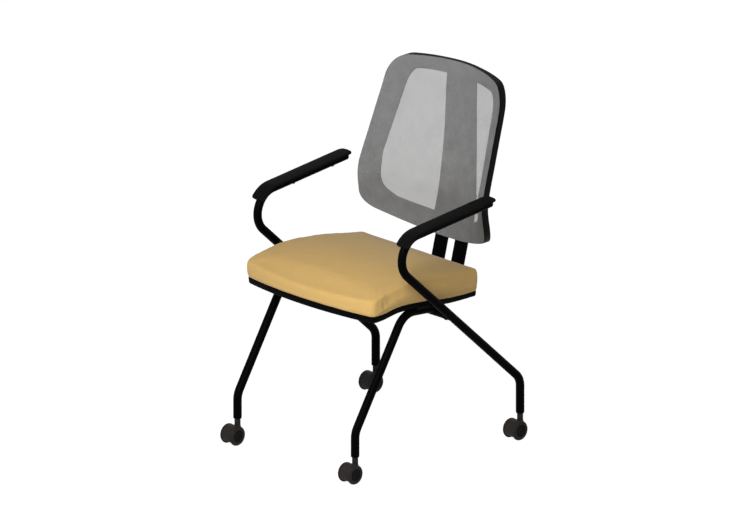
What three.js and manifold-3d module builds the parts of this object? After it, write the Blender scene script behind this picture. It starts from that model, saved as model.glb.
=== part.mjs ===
// A nesting chair: two bent tube side frames on twin-wheel casters, a flip-up upholstered seat
// and a mesh back on a moulded frame. Millimetres, +Z up, the sitter faces -Y, +X is the sitter's left.
// Along Y everything is measured from the axle of the front casters, and Z from the floor. The whole
// chair is moved at the end, so that its origin lies under the middle of its bounding box.

import * as THREE from 'three';
import { mergeVertices } from 'three/addons/utils/BufferGeometryUtils.js';
import Module from 'manifold-3d';

const wasm = await Module();
wasm.setup();

const overrun = 2; // how far a cutting solid runs past what it cuts
const seatGap = 0.3; // gap kept between pieces that rest on each other
const running = 0.3; // gap between a turning piece and what it turns in
const weldReach = 1e-5; // corners closer than this are one corner

const finishes = {
  powderCoat: new THREE.MeshStandardMaterial({ color: 0x0b0b0c, roughness: 0.45, metalness: 0.3 }),
  backPlastic: new THREE.MeshStandardMaterial({ color: 0x0d0d0e, roughness: 0.55, metalness: 0 }),
  mesh: new THREE.MeshStandardMaterial({ color: 0x7b7c7c, roughness: 0.9, metalness: 0 }),
  armPad: new THREE.MeshStandardMaterial({ color: 0x191717, roughness: 0.6, metalness: 0 }),
  fabric: new THREE.MeshStandardMaterial({ color: 0xb99a60, roughness: 0.95, metalness: 0 }),
  panPlastic: new THREE.MeshStandardMaterial({ color: 0x141313, roughness: 0.6, metalness: 0 }),
  casterPlastic: new THREE.MeshStandardMaterial({ color: 0x2a2624, roughness: 0.5, metalness: 0 }),
  rubber: new THREE.MeshStandardMaterial({ color: 0x151515, roughness: 0.8, metalness: 0 }),
  zinc: new THREE.MeshStandardMaterial({ color: 0x9a9c9f, roughness: 0.35, metalness: 0.9 }),
};

const tube = { radius: 11, wall: 1.8, sides: 12, bendStep: 0.29 };
const endPlug = { length: 12, cap: 2 };

const caster = {
  wheelRadius: 25.5,
  footGap: 16.5, // from the top of the wheels to the end of the tube
  trail: 17.4,
  hoodStep: 0.5, // how far the hood stays inside the tread
  hoodHalf: 14.6,
  hoodWall: 2.7,
  hoodDrop: 13, // how far the hood reaches below the axle
  webHalf: 2.3,
  neckRadius: 7.8,
  hubGap: 0.7,
  rimGap: 0.6,
  rimWidth: 6.5,
  rimRound: 5,
  capRadius: 16,
  capSink: 0.8,
  axleRadius: 2.5,
  axleInset: 3.1,
  stemRadius: 5,
  stemAbove: 32.5,
  stemBelow: 21.5,
  sides: 16,
  stemSides: 12,
};
const socket = { flange: 1.5, height: 36 };

const seat = {
  frontHalf: 228,
  taper: 20, // how much narrower each side is at the rear
  depth: 416,
  pastHinge: 16,
  aboveCross: 18.2, // from the middle of the cross tube to the pan's top at the rear
  rise: 30,
  cornerSetback: 26,
  frontCorner: 22,
  rearCorner: 8,
  leastCorner: 4,
  cornerShare: 0.1,
  flare: 0.6,
  sideBow: 2,
  undersideShares: [
    [0, 0], [0.07, 0.1], [0.155, 0.117], [0.3, -0.05], [0.535, 0.267], [0.745, 0.75], [1, 1],
  ],
};
const cushion = {
  height: 88,
  crown: 8,
  crownRate: 3,
  footInset: 1.5,
  bulge: 4,
  shoulderBulge: 1,
  creaseInset: 4,
  creaseShares: [
    [0, 0.697], [0.067, 0.78], [0.145, 0.905], [0.229, 0.975], [0.325, 1.012],
    [0.457, 1.015], [0.6, 0.96], [0.72, 0.89], [0.865, 0.775], [1, 0.655],
  ],
  wallShares: [0.12, 0.45, 0.72, 0.87],
  topShares: [0.02, 0.12, 0.3, 0.55, 0.8],
  undersideShares: [0.55, 0.2],
};
const pan = {
  frontRim: 17.5,
  rearRim: 13.5,
  skin: 4,
  rimWall: 4,
  flankInset: 1,
  skirtInset: 3.5,
  flankShare: 0.8,
  middleShares: [0.2, 0.55],
};
const panRib = {
  thickness: 3,
  depth: 9,
  steps: 6,
  acrossShares: [0, 0.57],
  alongShares: [0.192, 0.397, 0.625],
};

// The routes of the bent tubes in the side view, as corners with the bend's radius at each
const armTube = {
  besideSeat: 31.5, // from the seat's side to the middle of the tube
  rear: { y: 447, z: 650.6 },
  bend: { y: 57.1, z: 614.4, radius: 59 },
  knee: { y: 555.1, z: 157.4, radius: 45 },
};
const crossTube = { y: 306.8, belowLeg: 2.46 };
const frontLeg = {
  inboard: 48,
  kneeAboveFoot: 61.2,
  kneeRadius: 50,
  shoulderAhead: 116.8, // of the cross tube
  shoulderAbove: 23.7,
  shoulderRadius: 57,
  railPast: 11.2,
  railAbove: 11.4,
};
const bumper = { aheadOfCross: 55.8, length: 44, thickness: 2.4, spread: 2.1, segments: 10 };

const backBar = {
  x: 35,
  width: 42,
  thickness: 8,
  aheadOfCross: 20.8,
  behindHinge: 103.8,
  bendRadius: 42,
  lean: 0.262, // how far back the upright goes for each unit up
  behindBack: 113, // how far it reaches up behind the back
};
const backScrew = {
  belowTop: { lower: 55, upper: 19 },
  radius: 2.5,
  headRadius: 5.5,
  head: 3,
  bite: 7,
  bossRadius: 7,
  bossSink: 1,
  sides: 12,
};

const armPad = {
  width: 45,
  edge: 8.3,
  crown: 1.4,
  underside: 5.4,
  edgeRound: 2.4,
  topRound: 2.6,
  lowerBevel: 1.2,
  lowerInset: 1.6,
  shoulderShare: 0.8,
  channelSteps: 6,
  pastTube: 7,
  noseAngle: 0.8, // how far it follows the bend
  endRound: 15,
  endSteps: 3,
  tipShare: 0.62,
};
const padScrew = {
  fromRear: { front: 185, rear: 47 },
  radius: 2,
  headRadius: 4,
  head: 2.2,
  bite: 2.4,
  sides: 10,
};

// The back is a sheet curved by one radius in plan, and by a profile of its middle line in the side view
const back = {
  aboveSeat: 71,
  height: 453,
  armGap: 11.7,
  planRadius: 312.5,
  lean: 75, // how far its top lies behind its lumbar
  lumbarAhead: 35.5, // of the foot of the spine
  bottomRadius: 420,
  topRadius: 2273,
  rimSide: 51.8,
  rimBottom: 60.5,
  rimTop: 39,
  openingBottomRadius: 476,
  openingTopRadius: 5000,
  meshThickness: 0.9,
  skin: 3.6,
  bead: 8,
  beadFoot: 24,
  openingWall: 3.4,
  openingDepth: 7.5,
  sideDepth: 22,
  bottomDepth: 15.5,
  topDepth: 8,
  profileShares: [
    [0, 0.187], [0.115, 0.16], [0.203, 0.087], [0.313, 0], [0.393, 0.067],
    [0.547, 0.34], [0.715, 0.64], [0.815, 0.82], [0.901, 0.94], [1, 1],
  ],
  bottomDepthShare: 0.666,
  topDepthShares: [0.2, 0.85],
  middleShares: [0.3, 0.66],
};
// Points of the two outlines, across as shares of the half width and up as shares of the height
const outlineShares = {
  bottom: 0.8433,
  sideLow: [1, 0.2075],
  sideMiddle: [0.992, 0.3819],
  sideHigh: [0.8966, 0.841],
  top: 0.6214,
  pull: 0.55,
};
const openingShares = {
  bottom: 0.6455,
  sideLow: [0.9914, 0.2532],
  sideMiddle: [1, 0.3946],
  sideHigh: [0.8934, 0.8359],
  top: 0.6801,
  pull: 0.55,
};
const roundSteps = 3;
const seatCounts = { front: 4, frontCorner: 4, side: 7, rearCorner: 3, rear: 3 };
const outlineCounts = { bottom: 4, lowCorner: 5, lowSide: 2, highSide: 4, highCorner: 5, top: 4 };
const spine = {
  aboveBottom: 28,
  belowTop: 13,
  besideBars: 16,
  topHalf: 50,
  lean: 44,
  barGap: 4.88,
  skin: 3.6,
  wall: 3.4,
  depth: 9.5,
  flangeInset: 5.5,
  ribThickness: 3,
  ribDepth: 7,
  steps: 14,
  profileShares: [
    [0, 0], [0.085, 0.182], [0.214, 0.398], [0.369, 0.511], [0.444, 0.602],
    [0.602, 0.67], [0.757, 0.727], [0.922, 0.886], [1, 1],
  ],
  taperShares: [[0, 0], [0.243, 0.355], [0.383, 0.582], [0.488, 0.714], [0.59, 0.8], [0.801, 0.909], [1, 1]],
  ribShares: [0.34, 0.485, 0.631, 0.777],
};

const hinge = {
  behindCross: 133.2,
  aboveBar: 13.2,
  rodRadius: 3.5,
  rodPast: 10,
  rodHead: 3,
  rodHeadRadius: 6,
  lugThickness: 6,
  lugRadius: 8,
  lugFrontFoot: 18,
  lugSteps: 10,
  plateGap: 5,
  plateThickness: 6,
  plateRadius: 8,
  plateAhead: 56,
  plateBehind: 6,
  plateSteps: 6,
  eyeSteps: 8,
  flangeThickness: 3,
  flangeWidth: 24,
  flangeGap: 0.6,
  webRoot: 1,
  pocketGap: 1,
  bushRadius: 5.3,
  bushFlange: 7.8,
  bushFlangeThickness: 1.6,
  sides: 16,
};

// Places that follow from those sizes
const footZ = 2 * caster.wheelRadius + caster.footGap;
const armX = seat.frontHalf + armTube.besideSeat;
const legX = armX - frontLeg.inboard;
const armSlope = Math.atan2(armTube.rear.z - armTube.bend.z, armTube.rear.y - armTube.bend.y);
const legSlope = (armTube.knee.z - armTube.bend.z) / (armTube.knee.y - armTube.bend.y);
const crossZ = armTube.bend.z + (crossTube.y - armTube.bend.y) * legSlope - crossTube.belowLeg;
const barZ = crossZ - tube.radius - seatGap - backBar.thickness / 2;
const barTop = barZ + backBar.thickness / 2 + seatGap;
const hingeY = crossTube.y + hinge.behindCross;
const hingeZ = barTop + hinge.aboveBar;
const seatRearY = hingeY + seat.pastHinge;
const seatFrontY = seatRearY - seat.depth;
const seatRearZ = crossZ + seat.aboveCross;
const hingePlateX = backBar.x + backBar.width / 2 + hinge.plateGap + hinge.plateThickness / 2;
const backBottomZ = seatRearZ + back.aboveSeat;
const backTopZ = backBottomZ + back.height;
const backHalf = armX - armPad.width / 2 - back.armGap;
const barBendY = hingeY + backBar.behindHinge;
const barTopZ = backBottomZ + backBar.behindBack;
const spineBottomZ = backBottomZ + spine.aboveBottom;
const spineTopZ = backTopZ - spine.belowTop;
const spineBottomHalf = backBar.x + backBar.width / 2 + spine.besideBars;
const spineBottomY = barFrontY(spineBottomZ) - spine.barGap;
const lumbarY = spineBottomY - back.lumbarAhead;

// Turns a table of [place, value] shares into lengths
function scaled(shares, from, to, value0, value1) {
  return shares.map(([place, value]) => [
    THREE.MathUtils.lerp(from, to, place),
    THREE.MathUtils.lerp(value0, value1, value),
  ]);
}

// Interpolates a table of [place, value] pairs smoothly
function along(table, at) {
  const last = table.length - 1;
  let i = 0;
  while (i < last - 1 && at > table[i + 1][0]) i += 1;
  const slope = (k) => {
    const a = table[Math.max(k - 1, 0)];
    const b = table[Math.min(k + 1, last)];
    return (b[1] - a[1]) / (b[0] - a[0]);
  };
  const [x0, y0] = table[i];
  const [x1, y1] = table[i + 1];
  const span = x1 - x0;
  const t = THREE.MathUtils.clamp((at - x0) / span, 0, 1);
  const t2 = t * t;
  const t3 = t2 * t;
  return (2 * t3 - 3 * t2 + 1) * y0 + (t3 - 2 * t2 + t) * span * slope(i)
    + (3 * t2 - 2 * t3) * y1 + (t3 - t2) * span * slope(i + 1);
}

// Turns a closed mesh into a solid that can be joined and cut
function solid(geometry) {
  const bare = geometry.clone();
  for (const name of Object.keys(bare.attributes)) {
    if (name !== 'position') bare.deleteAttribute(name);
  }
  const merged = mergeVertices(bare, weldReach);
  const p = merged.attributes.position;
  const index = merged.index.array;
  let volume = 0;
  const [a, b, c] = [new THREE.Vector3(), new THREE.Vector3(), new THREE.Vector3()];
  for (let i = 0; i < index.length; i += 3) {
    a.fromBufferAttribute(p, index[i]);
    b.fromBufferAttribute(p, index[i + 1]);
    c.fromBufferAttribute(p, index[i + 2]);
    volume += a.dot(b.cross(c));
  }
  const triVerts = new Uint32Array(index);
  const vertProperties = new Float32Array(p.array);
  if (volume < 0) {
    for (let i = 0; i < triVerts.length; i += 3) {
      [triVerts[i], triVerts[i + 1]] = [triVerts[i + 1], triVerts[i]];
    }
  }
  return new wasm.Manifold(new wasm.Mesh({ numProp: 3, vertProperties, triVerts }));
}

function geometryOf(manifold) {
  const mesh = manifold.getMesh();
  const geometry = new THREE.BufferGeometry();
  geometry.setAttribute('position', new THREE.BufferAttribute(new Float32Array(mesh.vertProperties), 3));
  geometry.setIndex(new THREE.BufferAttribute(new Uint32Array(mesh.triVerts), 1));
  return geometry;
}

function piece(name, manifold, finish) {
  const mesh = new THREE.Mesh(geometryOf(manifold), finish);
  mesh.name = name;
  return mesh;
}

// A centre line in the side view: straights joined by bends, as stations with their directions
function bentLine(corners, step) {
  const stations = [];
  const points = corners.map((c) => new THREE.Vector2(c.y, c.z));
  points.forEach((point, i) => {
    const before = i > 0 ? point.clone().sub(points[i - 1]).normalize() : null;
    const after = i < points.length - 1 ? points[i + 1].clone().sub(point).normalize() : null;
    if (!before || !after) {
      stations.push({ at: point, direction: before || after });
      return;
    }
    const turn = Math.atan2(before.cross(after), before.dot(after));
    const reach = corners[i].radius * Math.tan(Math.abs(turn) / 2);
    const start = point.clone().addScaledVector(before, -reach);
    const side = new THREE.Vector2(-before.y, before.x).multiplyScalar(Math.sign(turn));
    const centre = start.clone().addScaledVector(side, corners[i].radius);
    const count = Math.max(2, Math.round(Math.abs(turn) / step));
    for (let k = 0; k <= count; k += 1) {
      const angle = (turn * k) / count;
      const origin = new THREE.Vector2();
      const arm = start.clone().sub(centre).rotateAround(origin, angle);
      stations.push({ at: centre.clone().add(arm), direction: before.clone().rotateAround(origin, angle) });
    }
  });
  return stations;
}

// A curve whose divisions are exactly the stations of a bent line, in the plane at x
class StationCurve extends THREE.Curve {
  constructor(stations, x) {
    super();
    this.stations = stations;
    this.x = x;
  }

  getSpacedPoints() {
    return this.stations.map((s) => new THREE.Vector3(this.x, s.at.x, s.at.y));
  }

  getPointAt(u) {
    const s = this.stations[Math.round(u * (this.stations.length - 1))];
    return new THREE.Vector3(this.x, s.at.x, s.at.y);
  }

  getTangentAt(u) {
    const s = this.stations[Math.round(u * (this.stations.length - 1))];
    return new THREE.Vector3(0, s.direction.x, s.direction.y);
  }
}

function circle(radius, sides, ShapeClass = THREE.Shape) {
  const ring = new ShapeClass();
  for (let i = 0; i < sides; i += 1) {
    const angle = (2 * Math.PI * i) / sides;
    const x = radius * Math.cos(angle);
    const y = radius * Math.sin(angle);
    if (i === 0) ring.moveTo(x, y);
    else ring.lineTo(x, y);
  }
  ring.closePath();
  return ring;
}

function sweep(shape, stations, x) {
  const options = { steps: stations.length - 1, extrudePath: new StationCurve(stations, x) };
  return solid(new THREE.ExtrudeGeometry(shape, options));
}

function hollowTube(stations, x, radius = tube.radius) {
  const section = circle(radius, tube.sides);
  section.holes.push(circle(radius - tube.wall, tube.sides, THREE.Path));
  return sweep(section, stations, x);
}

function straightCylinder(radius, length, sides = caster.sides) {
  return solid(new THREE.CylinderGeometry(radius, radius, length, sides));
}

// A cylinder along X between two places, at a height and depth
function cylinderX(radius, x0, x1, y, z, sides) {
  return straightCylinder(radius, x1 - x0, sides).rotate([0, 0, 90]).translate([(x0 + x1) / 2, y, z]);
}

function cylinderZ(radius, z0, z1, x, y, sides) {
  return straightCylinder(radius, z1 - z0, sides).rotate([90, 0, 0]).translate([x, y, (z0 + z1) / 2]);
}

function cylinderY(radius, y0, y1, sides) {
  return straightCylinder(radius, y1 - y0, sides).translate([0, (y0 + y1) / 2, 0]);
}

function block(x0, x1, y0, y1, z0, z1) {
  const box = new THREE.BoxGeometry(x1 - x0, y1 - y0, z1 - z0);
  return solid(box).translate([(x0 + x1) / 2, (y0 + y1) / 2, (z0 + z1) / 2]);
}

// Extrudes an outline drawn in the side view, given as [y, z] points, across x
function plateX(points, x0, x1) {
  const shape = new THREE.Shape(points.map(([y, z]) => new THREE.Vector2(y, z)));
  const geometry = new THREE.ExtrudeGeometry(shape, { depth: x1 - x0, bevelEnabled: false, steps: 1 });
  const toSide = new THREE.Matrix4().makeBasis(
    new THREE.Vector3(0, 1, 0),
    new THREE.Vector3(0, 0, 1),
    new THREE.Vector3(1, 0, 0),
  );
  geometry.applyMatrix4(toSide);
  return solid(geometry).translate([x0, 0, 0]);
}

function lathedX(profile, sides = caster.sides) {
  const points = profile.map(([x, r]) => new THREE.Vector2(r, x));
  return solid(new THREE.LatheGeometry(points, sides)).rotate([0, 0, -90]);
}

// Skins a closed body over rings of points, each ring joined to the next and both ends filled
function skinned(rings, { endless = false, fills = [null, null] } = {}) {
  const positions = [];
  const index = [];
  const count = rings[0].length;
  rings.forEach((ring) => ring.forEach((point) => positions.push(point.x, point.y, point.z)));
  const bands = endless ? rings.length : rings.length - 1;
  for (let r = 0; r < bands; r += 1) {
    const next = (r + 1) % rings.length;
    for (let i = 0; i < count; i += 1) {
      const j = (i + 1) % count;
      index.push(r * count + i, r * count + j, next * count + i);
      index.push(r * count + j, next * count + j, next * count + i);
    }
  }
  fills.forEach((fill, end) => {
    if (!fill) return;
    const first = end === 0 ? 0 : (rings.length - 1) * count;
    if (fill.isVector3) {
      const middle = positions.length / 3;
      positions.push(fill.x, fill.y, fill.z);
      for (let i = 0; i < count; i += 1) {
        const j = (i + 1) % count;
        index.push(middle, first + (end === 0 ? j : i), first + (end === 0 ? i : j));
      }
      return;
    }
    const turned = THREE.ShapeUtils.isClockWise(fill) !== (end === 0);
    for (const [a, b, c] of THREE.ShapeUtils.triangulateShape(fill, [])) {
      const order = turned ? [c, b, a] : [a, b, c];
      index.push(...order.map((k) => first + k));
    }
  });
  const geometry = new THREE.BufferGeometry();
  geometry.setAttribute('position', new THREE.Float32BufferAttribute(positions, 3));
  geometry.setIndex(index);
  return solid(geometry);
}

const chair = new THREE.Group();

const sides = { left: 1, right: -1 };

function armTubeStations() {
  const foot = { y: armTube.knee.y, z: footZ };
  return bentLine([armTube.rear, armTube.bend, armTube.knee, foot], tube.bendStep);
}

function frontLegStations() {
  const foot = { y: caster.trail, z: footZ };
  const knee = { y: caster.trail, z: footZ + frontLeg.kneeAboveFoot, radius: frontLeg.kneeRadius };
  const shoulder = {
    y: crossTube.y - frontLeg.shoulderAhead,
    z: crossZ + frontLeg.shoulderAbove,
    radius: frontLeg.shoulderRadius,
  };
  const railEnd = { y: crossTube.y + frontLeg.railPast, z: crossZ + frontLeg.railAbove };
  return bentLine([foot, knee, shoulder, railEnd], tube.bendStep);
}

function crossCylinder(radius, half, facets = tube.sides) {
  return cylinderX(radius, -half, half, crossTube.y, crossZ, facets);
}

function addSideFrames() {
  const armRun = sweep(circle(tube.radius + seatGap, tube.sides), armTubeStations(), 0);
  const cross = crossCylinder(tube.radius, armX)
    .subtract(crossCylinder(tube.radius - tube.wall, armX + overrun))
    .subtract(armRun.translate([armX, 0, 0]))
    .subtract(armRun.translate([-armX, 0, 0]));
  chair.add(piece('cross_tube', cross, finishes.powderCoat));
  const aroundCross = crossCylinder(tube.radius + seatGap, armX, tube.sides * 2);
  for (const [side, sign] of Object.entries(sides)) {
    let arm = hollowTube(armTubeStations(), sign * armX);
    for (const inward of Object.values(padScrew.fromRear)) {
      arm = arm.subtract(onArm(padScrewHole(), sign * armX, inward));
    }
    chair.add(piece(`arm_tube_${side}`, arm, finishes.powderCoat));
    const leg = hollowTube(frontLegStations(), sign * legX).subtract(aroundCross);
    chair.add(piece(`front_leg_${side}`, leg, finishes.powderCoat));
  }
}

function addEndPlugs() {
  const bore = tube.radius - tube.wall - seatGap;
  const plug = straightCylinder(bore, endPlug.length, tube.sides).translate([0, -endPlug.length / 2, 0])
    .add(straightCylinder(tube.radius, endPlug.cap, tube.sides).translate([0, endPlug.cap / 2 + seatGap, 0]))
    .add(straightCylinder(bore, endPlug.cap, tube.sides))
    .rotate([THREE.MathUtils.radToDeg(armSlope), 0, 0]);
  for (const [side, sign] of Object.entries(sides)) {
    const placed = plug.translate([sign * armX, armTube.rear.y, armTube.rear.z]);
    chair.add(piece(`tube_end_plug_${side}`, placed, finishes.rubber));
  }
}

// A strip of flat bar along a bent line, as an outline in the side view
function stripOutline(stations, thickness) {
  const offset = (s, distance) => [
    s.at.x - s.direction.y * distance,
    s.at.y + s.direction.x * distance,
  ];
  const top = stations.map((s) => offset(s, thickness / 2));
  const bottom = stations.map((s) => offset(s, -thickness / 2)).reverse();
  return top.concat(bottom);
}

function backBarStations() {
  const corners = [
    { y: crossTube.y - backBar.aheadOfCross, z: barZ },
    { y: barBendY, z: barZ, radius: backBar.bendRadius },
    { y: barBendY + (barTopZ - barZ) * backBar.lean, z: barTopZ },
  ];
  return bentLine(corners, tube.bendStep);
}

function barFrontY(z) {
  return barBendY + (z - barZ) * backBar.lean - (backBar.thickness / 2) * Math.hypot(1, backBar.lean);
}

// Moves a solid drawn about the Y axis to a point on the front face of a bar, square to that face
function onBarFace(drawn, x, z) {
  const tilt = THREE.MathUtils.radToDeg(Math.atan(backBar.lean));
  return drawn.rotate([-tilt, 0, 0]).translate([x, barFrontY(z), z]);
}

function backScrewPlaces() {
  return Object.entries(backScrew.belowTop).map(([end, below]) => [end, barTopZ - below]);
}

function addBackBars() {
  const outline = stripOutline(backBarStations(), backBar.thickness);
  const under = backBar.thickness + seatGap;
  const shank = cylinderY(backScrew.radius, -backScrew.bite, under + backScrew.head / 2, backScrew.sides);
  const screw = shank.add(cylinderY(backScrew.headRadius, under, under + backScrew.head, backScrew.sides));
  const clear = backScrew.radius + seatGap;
  const hole = cylinderY(clear, -overrun, backBar.thickness + overrun, backScrew.sides);
  for (const [side, sign] of Object.entries(sides)) {
    const x = sign * backBar.x;
    let bar = plateX(outline, x - backBar.width / 2, x + backBar.width / 2);
    for (const [end, z] of backScrewPlaces()) {
      bar = bar.subtract(onBarFace(hole, x, z));
      chair.add(piece(`back_screw_${side}_${end}`, onBarFace(screw, x, z), finishes.zinc));
    }
    chair.add(piece(`back_bar_${side}`, bar, finishes.powderCoat));
  }
}

const backProfile = scaled(back.profileShares, backBottomZ, backTopZ, lumbarY, lumbarY + back.lean);

// The front surface of the back, as a depth over width and height
function backSurface(x, z) {
  return along(backProfile, z) - (x * x) / (2 * back.planRadius);
}

// An outline of the back in width and height, each stretch with its own number of points
function backOutline({ half, bottomZ, topZ, bottomRadius, topRadius, shares }) {
  const v = (x, z) => new THREE.Vector2(x, z);
  const corner = ([across, up]) => v(half * across, THREE.MathUtils.lerp(bottomZ, topZ, up));
  const bottomX = half * shares.bottom;
  const topX = half * shares.top;
  const low = v(bottomX, bottomZ + bottomX ** 2 / (2 * bottomRadius));
  const high = v(topX, topZ - topX ** 2 / (2 * topRadius));
  const sideLow = corner(shares.sideLow);
  const sideMiddle = corner(shares.sideMiddle);
  const sideHigh = corner(shares.sideHigh);
  const lowPull = (low.distanceTo(sideLow) / Math.SQRT2) * shares.pull;
  const highPull = (high.distanceTo(sideHigh) / Math.SQRT2) * shares.pull;
  const lowDirection = v(1, bottomX / bottomRadius).normalize();
  const upDirection = sideMiddle.clone().sub(sideLow).normalize();
  const highDirection = sideHigh.clone().sub(sideMiddle).normalize();
  const topDirection = v(1, -topX / topRadius);
  const points = [];
  const stretch = (curve, count) => {
    for (let i = 0; i < count; i += 1) points.push(curve.getPoint(i / count));
  };
  const bottom = new THREE.QuadraticBezierCurve(v(0, bottomZ), v(bottomX / 2, bottomZ), low);
  stretch(bottom, outlineCounts.bottom);
  stretch(new THREE.CubicBezierCurve(
    low,
    low.clone().addScaledVector(lowDirection, lowPull),
    sideLow.clone().addScaledVector(upDirection, -lowPull),
    sideLow,
  ), outlineCounts.lowCorner);
  stretch(new THREE.LineCurve(sideLow, sideMiddle), outlineCounts.lowSide);
  stretch(new THREE.LineCurve(sideMiddle, sideHigh), outlineCounts.highSide);
  stretch(new THREE.CubicBezierCurve(
    sideHigh,
    sideHigh.clone().addScaledVector(highDirection, highPull),
    high.clone().addScaledVector(topDirection, highPull),
    high,
  ), outlineCounts.highCorner);
  stretch(new THREE.QuadraticBezierCurve(high, v(topX / 2, topZ), v(0, topZ)), outlineCounts.top);
  const halfLine = points.concat([v(0, topZ)]);
  return halfLine.concat(halfLine.slice(1, -1).reverse().map((p) => v(-p.x, p.y)));
}

const outer = backOutline({
  half: backHalf,
  bottomZ: backBottomZ,
  topZ: backTopZ,
  bottomRadius: back.bottomRadius,
  topRadius: back.topRadius,
  shares: outlineShares,
});
const openingBottomZ = backBottomZ + back.rimBottom;
const openingTopZ = backTopZ - back.rimTop;
const opening = backOutline({
  half: backHalf - back.rimSide,
  bottomZ: openingBottomZ,
  topZ: openingTopZ,
  bottomRadius: back.openingBottomRadius,
  topRadius: back.openingTopRadius,
  shares: openingShares,
});

// A ring of the back between the outline (share 0) and the opening (share 1), set back by a depth
function backRing(share, depth, inset = 0) {
  return outer.map((p, i) => {
    const q = opening[i];
    const width = p.distanceTo(q);
    const at = p.clone().lerp(q, THREE.MathUtils.clamp(share + inset / width, 0, 1));
    const behind = typeof depth === 'function' ? depth(at) : depth;
    return new THREE.Vector3(at.x, backSurface(at.x, at.y) + behind, at.y);
  });
}

// How deep the rim is at its edge: full down the sides, shallower towards the middle of the top and bottom
function rimDepth(at) {
  const sideLowZ = THREE.MathUtils.lerp(backBottomZ, backTopZ, outlineShares.sideLow[1]);
  const sideHighZ = THREE.MathUtils.lerp(backBottomZ, backTopZ, outlineShares.sideHigh[1]);
  const across = Math.abs(at.x) / backHalf;
  if (at.y < sideLowZ) {
    const share = THREE.MathUtils.smoothstep(across, 0, back.bottomDepthShare);
    return THREE.MathUtils.lerp(back.bottomDepth, back.sideDepth, share);
  }
  if (at.y > sideHighZ) {
    const share = THREE.MathUtils.smoothstep(across, ...back.topDepthShares);
    return THREE.MathUtils.lerp(back.topDepth, back.sideDepth, share);
  }
  return back.sideDepth;
}

// The moulded back: a rim that ends in a bead at its edge, a broad spine, and a boss for each screw
function addBack() {
  const front = back.meshThickness + seatGap;
  const inner = front + back.skin;
  const lip = front + back.openingDepth;
  const rim = skinned([
    backRing(0, front),
    backRing(0.5, front),
    backRing(1, front),
    backRing(1, lip),
    backRing(1, lip, -back.openingWall),
    backRing(1, inner, -back.openingWall),
    backRing(0, inner, back.beadFoot),
    backRing(0, (at) => front + rimDepth(at), back.bead),
    backRing(0, (at) => front + rimDepth(at)),
  ], { endless: true });
  let frame = rim.add(spineSolid());
  const clear = backScrew.radius + seatGap;
  const hole = cylinderY(clear, -backScrew.bite - seatGap, overrun, backScrew.sides);
  for (const [, z] of backScrewPlaces()) {
    const reach = barFrontY(z) - along(spineProfile, z) - backScrew.bossSink;
    const boss = cylinderY(backScrew.bossRadius, -reach, -seatGap, backScrew.sides);
    for (const x of [backBar.x, -backBar.x]) {
      frame = frame.add(onBarFace(boss, x, z)).subtract(onBarFace(hole, x, z));
    }
  }
  chair.add(piece('back_frame', frame, finishes.backPlastic));
  chair.add(piece('back_mesh', meshSolid(), finishes.mesh));
}

const spineTopY = spineBottomY + spine.lean;
const spineProfile = scaled(spine.profileShares, spineBottomZ, spineTopZ, spineBottomY, spineTopY);
const spineHalves = scaled(spine.taperShares, spineBottomZ, spineTopZ, spineBottomHalf, spine.topHalf);

// A plate with a flange set in from each edge, and ribs across between the flanges
function spineSolid() {
  const section = (z) => {
    const half = along(spineHalves, z);
    const outside = half - spine.flangeInset;
    const inside = outside - spine.wall;
    const y = along(spineProfile, z);
    const rear = y + spine.depth;
    const floor = y + spine.skin;
    return [
      [-half, y], [half, y], [half, floor], [outside, floor], [outside, rear], [inside, rear],
      [inside, floor], [-inside, floor], [-inside, rear], [-outside, rear], [-outside, floor], [-half, floor],
    ];
  };
  const rings = [];
  for (let i = 0; i <= spine.steps; i += 1) {
    const z = THREE.MathUtils.lerp(spineBottomZ, spineTopZ, i / spine.steps);
    rings.push(section(z).map(([x, y]) => new THREE.Vector3(x, y, z)));
  }
  const flat = (z) => section(z).map(([x, y]) => new THREE.Vector2(x, y));
  let body = skinned(rings, { fills: [flat(spineBottomZ), flat(spineTopZ)] });
  for (const share of spine.ribShares) {
    const z = THREE.MathUtils.lerp(spineBottomZ, spineTopZ, share);
    const half = along(spineHalves, z) - spine.flangeInset - spine.wall / 2;
    const y = along(spineProfile, z) + spine.skin / 2;
    const thick = spine.ribThickness / 2;
    body = body.add(block(-half, half, y, y + spine.ribDepth, z - thick, z + thick));
  }
  return body;
}

// The mesh as a thin sheet: a face over rings of points, the same face set back, and the edge between them
function meshSolid() {
  const middle = new THREE.Vector2(0, (openingBottomZ + openingTopZ) / 2);
  const inside = (share) => opening.map((q) => {
    const at = q.clone().lerp(middle, share);
    return new THREE.Vector3(at.x, backSurface(at.x, at.y), at.y);
  });
  const rings = [backRing(0, 0), backRing(0.5, 0), backRing(1, 0), ...back.middleShares.map(inside)];
  const count = opening.length;
  const points = rings.flat().concat([new THREE.Vector3(0, backSurface(0, middle.y), middle.y)]);
  const last = points.length - 1;
  const positions = points.flatMap((p) => [p.x, p.y, p.z])
    .concat(points.flatMap((p) => [p.x, p.y + back.meshThickness, p.z]));
  const index = [];
  const face = (a, b, c) => {
    index.push(a, b, c, c + points.length, b + points.length, a + points.length);
  };
  rings.forEach((ring, r) => {
    for (let i = 0; i < count; i += 1) {
      const [a, b] = [r * count + i, r * count + ((i + 1) % count)];
      if (r === rings.length - 1) {
        face(a, b, last);
      } else {
        face(a, b, a + count);
        face(b, b + count, a + count);
      }
    }
  });
  for (let i = 0; i < count; i += 1) {
    const j = (i + 1) % count;
    index.push(i, i + points.length, j, j, i + points.length, j + points.length);
  }
  const geometry = new THREE.BufferGeometry();
  geometry.setAttribute('position', new THREE.Float32BufferAttribute(positions, 3));
  geometry.setIndex(index);
  return solid(geometry);
}

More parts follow.
